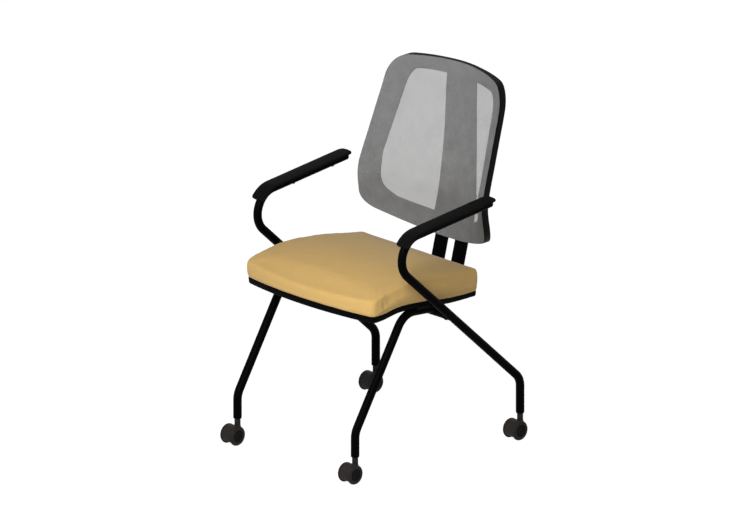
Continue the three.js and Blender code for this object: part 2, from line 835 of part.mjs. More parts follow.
// Stations of the arm tube that carry its pad, from behind its rear end to part way round the bend
function armPadPath() {
  const [start, ...bend] = armTubeStations();
  const rear = start.at.clone().addScaledVector(start.direction, -armPad.pastTube);
  const path = [];
  for (let i = 0; i <= armPad.endSteps; i += 1) {
    const way = armPad.endRound * (1 - Math.cos((Math.PI / 2) * (i / armPad.endSteps)));
    path.push({ at: rear.clone().addScaledVector(start.direction, way), direction: start.direction });
  }
  path.push(bend[0]);
  for (let i = 1; i < bend.length; i += 1) {
    const turned = bend[i].direction.angle() - start.direction.angle();
    const before = bend[i - 1].direction.angle() - start.direction.angle();
    if (turned >= armPad.noseAngle) {
      const share = (armPad.noseAngle - before) / (turned - before);
      const at = bend[i - 1].at.clone().lerp(bend[i].at, share);
      path.push({ at, direction: bend[i - 1].direction.clone().lerp(bend[i].direction, share).normalize() });
      break;
    }
    path.push(bend[i]);
  }
  return path;
}

function armPadSection(half) {
  const channel = tube.radius + seatGap;
  const halfMouth = Math.sqrt(channel ** 2 - armPad.underside ** 2);
  const mouthAngle = Math.acos(armPad.underside / channel);
  const top = armPad.underside + armPad.edge;
  const shoulder = top + armPad.crown * armPad.shoulderShare;
  const points = [
    [-half, armPad.underside + armPad.lowerBevel],
    [-half, top - armPad.edgeRound],
    [-half + armPad.topRound, top],
    [-half / 2, shoulder],
    [0, top + armPad.crown],
    [half / 2, shoulder],
    [half - armPad.topRound, top],
    [half, top - armPad.edgeRound],
    [half, armPad.underside + armPad.lowerBevel],
    [half - armPad.lowerInset, armPad.underside],
    [halfMouth, armPad.underside],
  ];
  for (let i = 1; i < armPad.channelSteps; i += 1) {
    const angle = mouthAngle * (1 - (2 * i) / armPad.channelSteps);
    points.push([channel * Math.sin(angle), channel * Math.cos(angle)]);
  }
  points.push([-halfMouth, armPad.underside], [-half + armPad.lowerInset, armPad.underside]);
  return points;
}

function addArmPads() {
  const path = armPadPath();
  const lengths = [0];
  for (let i = 1; i < path.length; i += 1) {
    lengths.push(lengths[i - 1] + path[i].at.distanceTo(path[i - 1].at));
  }
  const total = lengths[lengths.length - 1];
  const halfAt = (i) => {
    const toEnd = Math.min(lengths[i], total - lengths[i]);
    const share = THREE.MathUtils.clamp(toEnd / armPad.endRound, 0, 1);
    const round = i < path.length / 2 ? Math.sqrt(1 - (1 - share) ** 2) : 1;
    return (armPad.width / 2) * THREE.MathUtils.lerp(armPad.tipShare, 1, round);
  };
  const ring = (s, half) => armPadSection(half).map(([across, out]) => new THREE.Vector3(
    across,
    s.at.x + s.direction.y * out,
    s.at.y - s.direction.x * out,
  ));
  const rings = path.map((s, i) => ring(s, halfAt(i)));
  const flat = (i) => armPadSection(halfAt(i)).map(([x, y]) => new THREE.Vector2(x, y));
  let pad = skinned(rings, { fills: [flat(0), flat(path.length - 1)] });
  for (const inward of Object.values(padScrew.fromRear)) {
    pad = pad.subtract(onArm(padScrewHole(), 0, inward));
  }
  for (const [side, sign] of Object.entries(sides)) {
    chair.add(piece(`arm_pad_${side}`, pad.translate([sign * armX, 0, 0]), finishes.armPad));
  }
}

// Plan outline of the seat in X and Y, the same number of points whatever the inset
function seatOutline(inset) {
  const v = (x, y) => new THREE.Vector2(x, y);
  const frontY = seatFrontY + inset;
  const rearY = seatRearY - inset;
  const cornerY = frontY + seat.cornerSetback;
  const frontHalf = seat.frontHalf - inset;
  const rearHalf = seat.frontHalf - seat.taper - inset;
  const front = Math.max(seat.frontCorner - inset / 2, seat.leastCorner);
  const rear = Math.max(seat.rearCorner - inset / 2, seat.leastCorner);
  const bow = seat.cornerSetback / frontHalf ** 2;
  const frontX = frontHalf - front;
  const frontEnd = v(frontX, frontY + bow * frontX ** 2);
  const frontCorner = v(frontHalf, cornerY - front * seat.cornerShare);
  const sideStart = v(frontHalf - seat.flare, cornerY + front);
  const sideEnd = v(rearHalf, rearY - rear);
  const sideMiddle = sideStart.clone().add(sideEnd).divideScalar(2).add(v(seat.sideBow, 0));
  const rearEnd = v(rearHalf - rear, rearY);
  const points = [];
  const stretch = (curve, count) => {
    for (let i = 0; i < count; i += 1) points.push(curve.getPoint(i / count));
  };
  stretch(new THREE.QuadraticBezierCurve(v(0, frontY), v(frontX / 2, frontY), frontEnd), seatCounts.front);
  stretch(new THREE.QuadraticBezierCurve(frontEnd, frontCorner, sideStart), seatCounts.frontCorner);
  stretch(new THREE.QuadraticBezierCurve(sideStart, sideMiddle, sideEnd), seatCounts.side);
  stretch(new THREE.QuadraticBezierCurve(sideEnd, v(rearHalf, rearY), rearEnd), seatCounts.rearCorner);
  stretch(new THREE.LineCurve(rearEnd, v(0, rearY)), seatCounts.rear);
  const half = points.concat([v(0, rearY)]);
  return half.concat(half.slice(1, -1).reverse().map((p) => v(-p.x, p.y)));
}

const seatMiddle = new THREE.Vector2(0, (seatFrontY + seatRearY) / 2);

// A ring of the seat at an inset from its edge, or at a share of the way to its middle, with a height
function seatRing(inset, share, height) {
  return seatOutline(inset).map((p) => {
    const at = p.clone().lerp(seatMiddle, share);
    return new THREE.Vector3(at.x, at.y, height(at));
  });
}

function onSeatMiddle(height) {
  return new THREE.Vector3(0, seatMiddle.y, height(seatMiddle));
}

const seatFrontZ = seatRearZ + seat.rise;
const undersideTable = scaled(seat.undersideShares, seatFrontY, seatRearY, seatFrontZ, seatRearZ);
const creaseTop = seatRearZ + cushion.height;
const creaseTable = scaled(cushion.creaseShares, seatFrontY, seatRearY, seatRearZ, creaseTop);

function undersideZ(y) {
  return along(undersideTable, y);
}

function rimDrop(y) {
  return THREE.MathUtils.lerp(pan.frontRim, pan.rearRim, (y - seatFrontY) / seat.depth);
}

function cushionSolid() {
  const bottom = (at) => undersideZ(at.y) + seatGap;
  const creaseZ = (y) => along(creaseTable, y);
  const wall = (share) => (at) => THREE.MathUtils.lerp(undersideZ(at.y), creaseZ(at.y), share);
  const crown = (at, share) => {
    const across = 1 - (at.x / seat.frontHalf) ** 2;
    return cushion.crown * across * Math.min(1, share * cushion.crownRate);
  };
  const top = (share) => (at) => creaseZ(at.y) + crown(at, share);
  const [low, middle, high, shoulder] = cushion.wallShares;
  const rings = [
    ...cushion.undersideShares.map((share) => seatRing(cushion.footInset, share, bottom)),
    seatRing(cushion.footInset, 0, bottom),
    seatRing(0, 0, wall(low)),
    seatRing(-cushion.bulge, 0, wall(middle)),
    seatRing(-cushion.bulge, 0, wall(high)),
    seatRing(-cushion.shoulderBulge, 0, wall(shoulder)),
    ...cushion.topShares.map((share, i) => seatRing(cushion.creaseInset, i === 0 ? 0 : share, top(share))),
  ];
  return skinned(rings, { fills: [onSeatMiddle(bottom), onSeatMiddle(top(1))] });
}

// The moulded pan under the cushion: a skin with a skirt, open below, stiffened by low ribs
function panSolid() {
  const topZ = (at) => undersideZ(at.y);
  const flankZ = (at) => undersideZ(at.y) - rimDrop(at.y) * pan.flankShare;
  const skirtZ = (at) => undersideZ(at.y) - rimDrop(at.y);
  const ceiling = (at) => undersideZ(at.y) - pan.skin;
  const [near, far] = pan.middleShares;
  const shell = skinned([
    seatRing(0, far, topZ),
    seatRing(0, near, topZ),
    seatRing(0, 0, topZ),
    seatRing(pan.flankInset, 0, flankZ),
    seatRing(pan.skirtInset, 0, skirtZ),
    seatRing(pan.skirtInset + pan.rimWall, 0, skirtZ),
    seatRing(pan.flankInset + pan.rimWall, 0, ceiling),
    seatRing(pan.rimWall, near, ceiling),
    seatRing(pan.rimWall, far, ceiling),
  ], { fills: [onSeatMiddle(topZ), onSeatMiddle(ceiling)] });
  const coreInset = pan.flankInset + pan.rimWall / 2;
  const underSkirt = (at) => skirtZ(at) - overrun;
  const inSkin = (at) => topZ(at) - pan.skin / 2;
  const core = skinned([
    seatRing(coreInset, 0, underSkirt),
    seatRing(coreInset, 0, inSkin),
  ], { fills: [onSeatMiddle(underSkirt), onSeatMiddle(inSkin)] });
  let solidPan = shell.add(panRibs().intersect(core));
  const channel = circle(tube.radius + bumper.thickness + 3 * seatGap, tube.sides);
  const rail = sweep(channel, frontLegStations(), 0);
  for (const x of [legX, -legX]) solidPan = solidPan.subtract(rail.translate([x, 0, 0]));
  return solidPan;
}

function panRibs() {
  const half = panRib.thickness / 2;
  const top = [];
  const bottom = [];
  for (let i = 0; i <= panRib.steps; i += 1) {
    const y = THREE.MathUtils.lerp(seatFrontY, seatRearY, i / panRib.steps);
    top.push([y, undersideZ(y) - pan.skin / 2]);
    bottom.push([y, undersideZ(y) - panRib.depth]);
  }
  const outline = top.concat(bottom.reverse());
  const ribs = [];
  for (const share of panRib.acrossShares) {
    const x = seat.frontHalf * share;
    for (const at of x === 0 ? [x] : [x, -x]) ribs.push(plateX(outline, at - half, at + half));
  }
  for (const share of panRib.alongShares) {
    const y = THREE.MathUtils.lerp(seatFrontY, seatRearY, share);
    const z = undersideZ(y);
    ribs.push(block(-seat.frontHalf, seat.frontHalf, y - half, y + half, z - panRib.depth, z - pan.skin / 2));
  }
  return ribs.reduce((joined, rib) => joined.add(rib));
}

function addSeat() {
  chair.add(piece('seat_cushion', cushionSolid(), finishes.fabric));
  let body = panSolid();
  const reach = hinge.flangeWidth / 2 + hinge.pocketGap;
  const frontY = hingeY - hinge.plateAhead - hinge.pocketGap;
  const rearY = hingeY + hinge.plateBehind + hinge.pocketGap;
  const pocketTop = undersideZ(hingeY + hinge.plateBehind) - pan.skin - hinge.flangeThickness;
  for (const [side, sign] of Object.entries(sides)) {
    const x = sign * hingePlateX;
    chair.add(piece(`hinge_plate_${side}`, hingePlate(x), finishes.powderCoat));
    chair.add(piece(`hinge_bush_${side}`, hingeBush(sign), finishes.rubber));
    body = body.subtract(block(x - reach, x + reach, frontY, rearY, 0, pocketTop));
  }
  chair.add(piece('seat_pan', body, finishes.panPlastic));
}

function aboutHinge(radius, x0, x1) {
  return cylinderX(radius, x0, x1, hingeY, hingeZ, hinge.sides);
}

// A plate under the pan: a flange along its ceiling and a web down to the eye for the rod
function hingePlate(x) {
  const ceilingAt = (y) => undersideZ(y) - pan.skin - hinge.flangeGap;
  const frontY = hingeY - hinge.plateAhead;
  const rearY = hingeY + hinge.plateBehind;
  const top = [];
  const under = [];
  for (let i = 0; i <= hinge.plateSteps; i += 1) {
    const y = THREE.MathUtils.lerp(frontY, rearY, i / hinge.plateSteps);
    top.push([y, ceilingAt(y)]);
    under.push([y, ceilingAt(y) - hinge.flangeThickness]);
  }
  const halfFlange = hinge.flangeWidth / 2;
  const flange = plateX(top.concat(under.reverse()), x - halfFlange, x + halfFlange);
  const web = [[frontY, ceilingAt(frontY) - hinge.webRoot]];
  for (let i = 0; i <= hinge.eyeSteps; i += 1) {
    const angle = Math.PI * (i / hinge.eyeSteps - 1);
    web.push([hingeY + hinge.plateRadius * Math.cos(angle), hingeZ + hinge.plateRadius * Math.sin(angle)]);
  }
  const webRearY = hingeY + hinge.plateRadius;
  web.push([webRearY, ceilingAt(webRearY) - hinge.webRoot]);
  const half = hinge.plateThickness / 2;
  const bore = aboutHinge(hinge.bushRadius + seatGap, x - hinge.flangeWidth, x + hinge.flangeWidth);
  return flange.add(plateX(web, x - half, x + half)).subtract(bore);
}

// The bush in a plate's eye, with its flange on the side of the lug; drawn on the left and mirrored
function hingeBush(sign) {
  const half = hinge.plateThickness / 2;
  const x = hingePlateX;
  const outside = x - half - hinge.bushFlangeThickness - seatGap;
  const bush = aboutHinge(hinge.bushRadius, outside, x + half)
    .add(aboutHinge(hinge.bushFlange, outside, x - half - seatGap))
    .subtract(aboutHinge(hinge.rodRadius + running, x - hinge.flangeWidth, x + hinge.flangeWidth));
  return sign > 0 ? bush : bush.mirror([1, 0, 0]);
}

function addHingeSupports() {
  const outline = [[hingeY - hinge.lugFrontFoot, barTop], [hingeY, barTop]];
  const tangent = Math.acos(hinge.lugRadius / (hingeZ - barTop)) - Math.PI / 2;
  for (let i = 0; i <= hinge.lugSteps; i += 1) {
    const angle = THREE.MathUtils.lerp(tangent, Math.PI, i / hinge.lugSteps);
    outline.push([hingeY + hinge.lugRadius * Math.cos(angle), hingeZ + hinge.lugRadius * Math.sin(angle)]);
  }
  const half = hinge.lugThickness / 2;
  for (const [side, sign] of Object.entries(sides)) {
    const x = sign * backBar.x;
    const rodHole = aboutHinge(hinge.rodRadius + seatGap, x - hinge.flangeWidth, x + hinge.flangeWidth);
    const lug = plateX(outline, x - half, x + half).subtract(rodHole);
    chair.add(piece(`hinge_lug_${side}`, lug, finishes.powderCoat));
  }
  const rodHalf = hingePlateX + hinge.rodPast;
  const rod = aboutHinge(hinge.rodRadius, -rodHalf, rodHalf)
    .add(aboutHinge(hinge.rodHeadRadius, -rodHalf, hinge.rodHead - rodHalf))
    .add(aboutHinge(hinge.rodHeadRadius, rodHalf - hinge.rodHead, rodHalf));
  chair.add(piece('hinge_rod', rod, finishes.zinc));
}

// Rubber saddles on the rails, on which the pan rests
function addBumpers() {
  const [from, to] = frontLegStations().slice(-2).map((s) => s.at);
  const slope = to.clone().sub(from).angle();
  const y = crossTube.y - bumper.aheadOfCross;
  const z = from.y + (y - from.x) * Math.tan(slope);
  const inner = tube.radius + seatGap;
  const [start, stop] = [(Math.PI - bumper.spread) / 2, (Math.PI + bumper.spread) / 2];
  const arc = new THREE.Shape();
  arc.absarc(0, 0, inner + bumper.thickness, start, stop, false);
  arc.absarc(0, 0, inner, stop, start, true);
  arc.closePath();
  const options = { depth: bumper.length, bevelEnabled: false, curveSegments: bumper.segments };
  const saddle = solid(new THREE.ExtrudeGeometry(arc, options))
    .translate([0, 0, -bumper.length / 2])
    .rotate([90 + THREE.MathUtils.radToDeg(slope), 0, 0]);
  for (const [side, sign] of Object.entries(sides)) {
    chair.add(piece(`seat_bumper_${side}`, saddle.translate([sign * legX, y, z]), finishes.rubber));
  }
}

const hoodRadius = caster.wheelRadius - caster.hoodStep;
const pocketRadius = hoodRadius - caster.hoodWall;
const hubRadius = pocketRadius - caster.hubGap;
const rimInner = caster.hoodHalf + caster.rimGap;
const wheelOuter = rimInner + caster.rimWidth;
const axleHalf = wheelOuter - caster.axleInset;
const stemBottomZ = footZ - caster.stemBelow;

function wheelSolid() {
  const c = caster;
  const rim = c.wheelRadius / Math.cos(Math.PI / c.sides); // so that the tread's facets lie at that radius
  const profile = [
    [wheelOuter - c.capSink, 0],
    [wheelOuter - c.capSink, c.capRadius],
    [wheelOuter, c.capRadius + c.capSink],
  ];
  for (let i = 0; i <= roundSteps; i += 1) {
    const angle = (Math.PI / 2) * (i / roundSteps);
    profile.push([
      wheelOuter - c.rimRound + c.rimRound * Math.cos(angle),
      rim - c.rimRound + c.rimRound * Math.sin(angle),
    ]);
  }
  const hubFace = c.webHalf + running * 2;
  profile.push(
    [rimInner, rim],
    [rimInner, hubRadius],
    [hubFace, hubRadius],
    [hubFace, c.axleRadius + running],
    [axleHalf + running, c.axleRadius + running],
    [axleHalf + running, 0],
  );
  return lathedX(profile).rotate([180 / c.sides, 0, 0]);
}

// The hood of a caster about its axle: a barrel over both wheels on a web, with the neck behind
function hoodSolid() {
  const c = caster;
  const neckTop = footZ - socket.flange - seatGap - c.wheelRadius;
  const stemHole = c.stemRadius + seatGap;
  const stemFloor = stemBottomZ - c.wheelRadius - seatGap;
  const below = c.wheelRadius + overrun;
  const end = c.hoodHalf + overrun;
  return cylinderX(hoodRadius, -c.hoodHalf, c.hoodHalf, 0, 0, c.sides)
    .add(cylinderZ(c.neckRadius, 0, neckTop, 0, c.trail, c.stemSides))
    .subtract(cylinderX(pocketRadius, c.webHalf, end, 0, 0, c.sides))
    .subtract(cylinderX(pocketRadius, -end, -c.webHalf, 0, 0, c.sides))
    .subtract(block(-end, end, -below, below, -below, -c.hoodDrop))
    .subtract(cylinderX(c.axleRadius + seatGap, -end, end, 0, 0, c.stemSides))
    .subtract(cylinderZ(stemHole, stemFloor, neckTop + overrun, 0, c.trail, c.stemSides));
}

function socketSolid(x, y) {
  const bottom = footZ - socket.flange;
  const top = bottom + socket.height;
  const bore = tube.radius - tube.wall - seatGap;
  const stemBore = caster.stemRadius + running;
  return cylinderZ(tube.radius, bottom, footZ - seatGap, x, y, tube.sides)
    .add(cylinderZ(bore, bottom, top, x, y, tube.sides))
    .subtract(cylinderZ(stemBore, bottom - overrun, top + overrun, x, y, caster.stemSides));
}

function addCaster(name, x, stemY) {
  const c = caster;
  const place = [x, stemY - c.trail, c.wheelRadius];
  const axle = cylinderX(c.axleRadius, -axleHalf, axleHalf, 0, 0, c.stemSides).translate(place);
  const stem = cylinderZ(c.stemRadius, stemBottomZ, footZ + c.stemAbove, x, stemY, c.stemSides);
  const wheel = wheelSolid();
  const otherWheel = wheel.mirror([1, 0, 0]);
  chair.add(piece(`caster_hood_${name}`, hoodSolid().translate(place), finishes.casterPlastic));
  chair.add(piece(`caster_axle_${name}`, axle, finishes.zinc));
  chair.add(piece(`caster_stem_${name}`, stem, finishes.zinc));
  chair.add(piece(`caster_wheel_${name}_a`, wheel.translate(place), finishes.casterPlastic));
  chair.add(piece(`caster_wheel_${name}_b`, otherWheel.translate(place), finishes.casterPlastic));
  chair.add(piece(`caster_socket_${name}`, socketSolid(x, stemY), finishes.rubber));
}

// Moves a solid drawn about the Z axis onto the straight of the arm tube, at a distance from its rear end
function onArm(drawn, x, inward) {
  const z = armTube.rear.z - inward * Math.tan(armSlope);
  return drawn.rotate([THREE.MathUtils.radToDeg(armSlope), 0, 0]).translate([x, armTube.rear.y - inward, z]);
}

function padScrewHole() {
  const reach = tube.radius + padScrew.bite + seatGap;
  return cylinderZ(padScrew.radius + seatGap, -tube.radius - overrun, reach, 0, 0, padScrew.sides);
}

function addPadScrews() {
  const under = -tube.radius - seatGap;
  const tip = tube.radius + padScrew.bite;
  const screw = cylinderZ(padScrew.radius, under - padScrew.head / 2, tip, 0, 0, padScrew.sides)
    .add(cylinderZ(padScrew.headRadius, under - padScrew.head, under, 0, 0, padScrew.sides));
  for (const [side, sign] of Object.entries(sides)) {
    for (const [end, inward] of Object.entries(padScrew.fromRear)) {
      const placed = onArm(screw, sign * armX, inward);
      chair.add(piece(`arm_pad_screw_${side}_${end}`, placed, finishes.zinc));
    }
  }
}

addSideFrames();
addEndPlugs();
addBackBars();
addBack();
addArmPads();
addSeat();
addHingeSupports();
addBumpers();
addPadScrews();
for (const [side, sign] of Object.entries(sides)) {
  addCaster(`front_${side}`, sign * legX, caster.trail);
  addCaster(`rear_${side}`, sign * armX, armTube.knee.y);
}

const extent = new THREE.Box3().setFromObject(chair);
chair.position.set(0, -(extent.min.y + extent.max.y) / 2, -extent.min.z);

export default chair;
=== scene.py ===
# Nesting chair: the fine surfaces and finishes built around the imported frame.
# Metres, +Z up, the sitter faces -Y and +X is the sitter's left. Piece sizes are in millimetres, times mm.
import math
import bpy
from mathutils import Matrix, Vector, kdtree, noise


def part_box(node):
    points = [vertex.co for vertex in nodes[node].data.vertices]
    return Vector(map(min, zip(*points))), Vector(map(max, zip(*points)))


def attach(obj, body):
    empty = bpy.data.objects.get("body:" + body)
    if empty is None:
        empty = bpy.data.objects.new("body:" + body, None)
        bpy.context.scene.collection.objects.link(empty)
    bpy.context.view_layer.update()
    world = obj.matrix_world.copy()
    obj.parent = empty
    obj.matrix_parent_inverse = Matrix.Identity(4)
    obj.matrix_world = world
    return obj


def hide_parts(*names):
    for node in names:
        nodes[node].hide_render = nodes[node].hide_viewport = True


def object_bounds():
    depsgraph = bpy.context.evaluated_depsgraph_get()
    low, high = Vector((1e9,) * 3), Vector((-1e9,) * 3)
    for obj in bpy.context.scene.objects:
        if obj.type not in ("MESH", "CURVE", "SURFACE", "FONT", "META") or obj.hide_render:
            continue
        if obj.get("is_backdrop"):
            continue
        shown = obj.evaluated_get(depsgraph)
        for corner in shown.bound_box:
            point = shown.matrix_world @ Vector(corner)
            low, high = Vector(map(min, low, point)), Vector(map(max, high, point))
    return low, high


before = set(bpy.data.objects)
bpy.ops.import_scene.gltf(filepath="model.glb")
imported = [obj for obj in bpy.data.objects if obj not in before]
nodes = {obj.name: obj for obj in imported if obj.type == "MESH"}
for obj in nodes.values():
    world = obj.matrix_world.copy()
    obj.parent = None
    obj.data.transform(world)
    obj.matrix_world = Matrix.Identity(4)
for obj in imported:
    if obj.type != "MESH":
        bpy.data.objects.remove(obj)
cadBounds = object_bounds()

mm = 0.001
sideSigns = {"left": 1, "right": -1}


def boxMiddle(node):
    low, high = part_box(node)
    return (low + high) / 2


axleY = boxMiddle("caster_axle_front_left").y  # routes and tables measure Y from here, and Z from the floor


def at(x, y, z):
    return Vector((x * mm, axleY + y * mm, z * mm))


print("frame loaded:", len(nodes), "nodes")


def meshObject(name, vertices, faces, smoothAngle=40):
    mesh = bpy.data.meshes.new(name)
    mesh.from_pydata([tuple(v) for v in vertices], [], faces)
    mesh.update()
    piece = bpy.data.objects.new(name, mesh)
    bpy.context.scene.collection.objects.link(piece)
    for polygon in mesh.polygons:
        polygon.use_smooth = True
    mesh.set_sharp_from_angle(angle=math.radians(smoothAngle))
    return piece


def ringFaces(ringCount, ringSize, closedRings=False, closedRing=True, first=0):
    faces = []
    bands = ringCount if closedRings else ringCount - 1
    across = ringSize if closedRing else ringSize - 1
    for r in range(bands):
        a = first + r * ringSize
        b = first + ((r + 1) % ringCount) * ringSize
        for i in range(across):
            j = (i + 1) % ringSize
            faces.append((a + i, a + j, b + j, b + i))
    return faces


def skinned(name, rings, closedRings=False, capEnds=True, smoothAngle=40, flip=False):
    # joins rings of equal size, and fills the first and last one
    size = len(rings[0])
    vertices = [p for ring in rings for p in ring]
    faces = ringFaces(len(rings), size, closedRings)
    if capEnds and not closedRings:
        faces.append(tuple(reversed(range(size))))
        faces.append(tuple(range(len(vertices) - size, len(vertices))))
    if flip:
        faces = [tuple(reversed(f)) for f in faces]
    return meshObject(name, vertices, faces, smoothAngle)


def joined(name, parts):
    # one object out of several closed shells
    vertices = []
    faces = []
    for part in parts:
        first = len(vertices)
        vertices.extend(v.co.copy() for v in part.data.vertices)
        faces.extend(tuple(first + k for k in p.vertices) for p in part.data.polygons)
        bpy.data.objects.remove(part)
    return meshObject(name, vertices, faces)


def outwards(piece):
    # turns the faces of a closed mesh so that they point out
    mesh = piece.data
    volume = 0
    mesh.calc_loop_triangles()
    for t in mesh.loop_triangles:
        a, b, c = (mesh.vertices[k].co for k in t.vertices)
        volume += a.dot(b.cross(c))
    if volume < 0:
        mesh.flip_normals()
    return piece


def roundEdges(piece, width, segments=2, angle=35):
    bevel = piece.modifiers.new("edges", "BEVEL")
    bevel.width = width * mm
    bevel.segments = segments
    bevel.limit_method = "ANGLE"
    bevel.angle_limit = math.radians(angle)
    bevel.harden_normals = False
    return piece


def applied(piece):
    # leaves the piece as the mesh that its modifiers make
    graph = bpy.context.evaluated_depsgraph_get()
    mesh = bpy.data.meshes.new_from_object(piece.evaluated_get(graph))
    piece.modifiers.clear()
    piece.data = mesh
    return piece


def finished(piece, body, material, slot, *replaced):
    piece.data.materials.clear()
    piece.data.materials.append(material)
    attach(piece, body)
    if replaced:
        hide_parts(*replaced)
    return piece


def bentLine(corners, stepDegrees=5):
    # a centre line in the side view, as (point, direction) pairs: each corner is (y, z, bend radius)
    points = [Vector(c[:2]) for c in corners]
    stations = []
    for i, point in enumerate(points):
        before = (point - points[i - 1]).normalized() if i > 0 else None
        after = (points[i + 1] - point).normalized() if i < len(points) - 1 else None
        if before is None or after is None:
            stations.append((point, before or after))
            continue
        turn = math.atan2(before.x * after.y - before.y * after.x, before.dot(after))
        radius = corners[i][2]
        start = point - before * radius * math.tan(abs(turn) / 2)
        side = Vector((-before.y, before.x)) * math.copysign(1, turn)
        centre = start + side * radius
        count = max(2, round(math.degrees(abs(turn)) / stepDegrees))
        for k in range(count + 1):
            turned = Matrix.Rotation(turn * k / count, 2)
            stations.append((centre + turned @ (start - centre), turned @ before))
    return stations


def sweptRings(stations, sections, x):
    # rings across a bent line: a section is a list of (across, out) points, one section for each station
    rings = []
    for (point, direction), section in zip(stations, sections):
        out = Vector((-direction.y, direction.x))
        rings.append([at(x + a, point.x + out.x * b, point.y + out.y * b) for a, b in section])
    return rings


def roundSection(radius, sides):
    angles = [2 * math.pi * k / sides for k in range(sides)]
    return [(radius * math.cos(a), radius * math.sin(a)) for a in angles]


def roundedBar(name, stations, x, radius, sides, lip):
    # a round bar along a line, with its end edges rounded by lip
    first, last = stations[0], stations[-1]
    line = [first, (first[0] + first[1] * lip, first[1])] + stations[1:-1]
    line += [(last[0] - last[1] * lip, last[1]), last]
    radii = [radius - lip] + [radius] * (len(line) - 2) + [radius - lip]
    sections = [roundSection(r, sides) for r in radii]
    return outwards(skinned(name, sweptRings(line, sections, x)))


def turned(name, profile, origin, axis=Vector((0, 0, 1)), steps=48, smoothAngle=35):
    # a closed body of revolution: profile is (along, radius) pairs in millimetres, from the axis back to
    # the axis, and a radius may be a function of the angle
    across = axis.orthogonal().normalized()
    other = axis.cross(across)
    vertices = []
    for k in range(steps):
        angle = 2 * math.pi * k / steps
        outward = across * math.cos(angle) + other * math.sin(angle)
        for along, radius in profile:
            reach = radius(angle) if callable(radius) else radius
            vertices.append(origin + axis * along * mm + outward * reach * mm)
    faces = ringFaces(steps, len(profile), closedRings=True, closedRing=False)
    piece = meshObject(name, vertices, faces, smoothAngle)
    weld = piece.modifiers.new("weld", "WELD")
    weld.merge_threshold = 0.00001
    return outwards(applied(piece))


def smoothTable(table, place):
    # interpolates a table of (place, value) pairs by cubic pieces
    last = len(table) - 1
    i = 0
    while i < last - 1 and place > table[i + 1][0]:
        i += 1

    def slope(k):
        a, b = table[max(k - 1, 0)], table[min(k + 1, last)]
        return (b[1] - a[1]) / (b[0] - a[0])

    (x0, y0), (x1, y1) = table[i], table[i + 1]
    span = x1 - x0
    t = min(max((place - x0) / span, 0), 1)
    return ((2 * t**3 - 3 * t**2 + 1) * y0 + (t**3 - 2 * t**2 + t) * span * slope(i)
            + (3 * t**2 - 2 * t**3) * y1 + (t**3 - t**2) * span * slope(i + 1))


def bezier(points, t):
    while len(points) > 1:
        points = [a.lerp(b, t) for a, b in zip(points, points[1:])]
    return points[0]


def mirroredOutline(stretches):
    # half an outline as Bezier stretches with their point counts, from middle to middle, then its mirror
    half = []
    for controls, count in stretches:
        half += [bezier(controls, k / count) for k in range(count)]
    half.append(stretches[-1][0][-1].copy())
    return half + [Vector((-p.x, p.y)) for p in reversed(half[1:-1])]


def smoothStep(share):
    share = min(max(share, 0), 1)
    return share * share * (3 - 2 * share)


def newGroup(name, inputs, outputs):
    group = bpy.data.node_groups.new(name, "ShaderNodeTree")
    for socketName, kind, value in inputs:
        socket = group.interface.new_socket(name=socketName, in_out="INPUT", socket_type=kind)
        if value is not None:
            socket.default_value = value
    for socketName, kind in outputs:
        group.interface.new_socket(name=socketName, in_out="OUTPUT", socket_type=kind)
    return group, group.nodes.new("NodeGroupInput"), group.nodes.new("NodeGroupOutput")


def mathNode(tree, operation, a, b=None, clamp=False):
    node = tree.nodes.new("ShaderNodeMath")
    node.operation = operation
    node.use_clamp = clamp
    for socket, value in zip(node.inputs, (a, b)):
        if value is None:
            continue
        if isinstance(value, (int, float)):
            socket.default_value = value
        else:
            tree.links.new(value, socket)
    return node.outputs[0]


def times(tree, a, b, clamp=False):
    return mathNode(tree, "MULTIPLY", a, b, clamp)


def plus(tree, a, b, clamp=False):
    return mathNode(tree, "ADD", a, b, clamp)


def minus(tree, a, b, clamp=False):
    return mathNode(tree, "SUBTRACT", a, b, clamp)


def vectorNode(tree, operation, a, b=None):
    node = tree.nodes.new("ShaderNodeVectorMath")
    node.operation = operation
    tree.links.new(a, node.inputs[0])
    if isinstance(b, tuple):
        node.inputs[1].default_value = b
    elif b is not None and operation == "SCALE":
        tree.links.new(b, node.inputs["Scale"])
    elif b is not None:
        tree.links.new(b, node.inputs[1])
    return node.outputs[0]


def noiseNode(tree, vector, scale, detail=2, roughness=0.5):
    node = tree.nodes.new("ShaderNodeTexNoise")
    node.inputs["Detail"].default_value = detail
    node.inputs["Roughness"].default_value = roughness
    tree.links.new(vector, node.inputs["Vector"])
    if isinstance(scale, (int, float)):
        node.inputs["Scale"].default_value = scale
    else:
        tree.links.new(scale, node.inputs["Scale"])
    return node.outputs["Fac"]


def mixColour(tree, share, a, b, blend="MIX"):
    node = tree.nodes.new("ShaderNodeMix")
    node.data_type = "RGBA"
    node.blend_type = blend
    for socket, value in ((node.inputs["Factor"], share), (node.inputs["A"], a), (node.inputs["B"], b)):
        if isinstance(value, (int, float, tuple)):
            socket.default_value = value
        else:
            tree.links.new(value, socket)
    return node.outputs["Result"]


mouldedLook = {"driftScale": 14, "cloudScale": 130, "wornFrom": 0.53, "wornRate": 9, "roughSpread": 0.16}


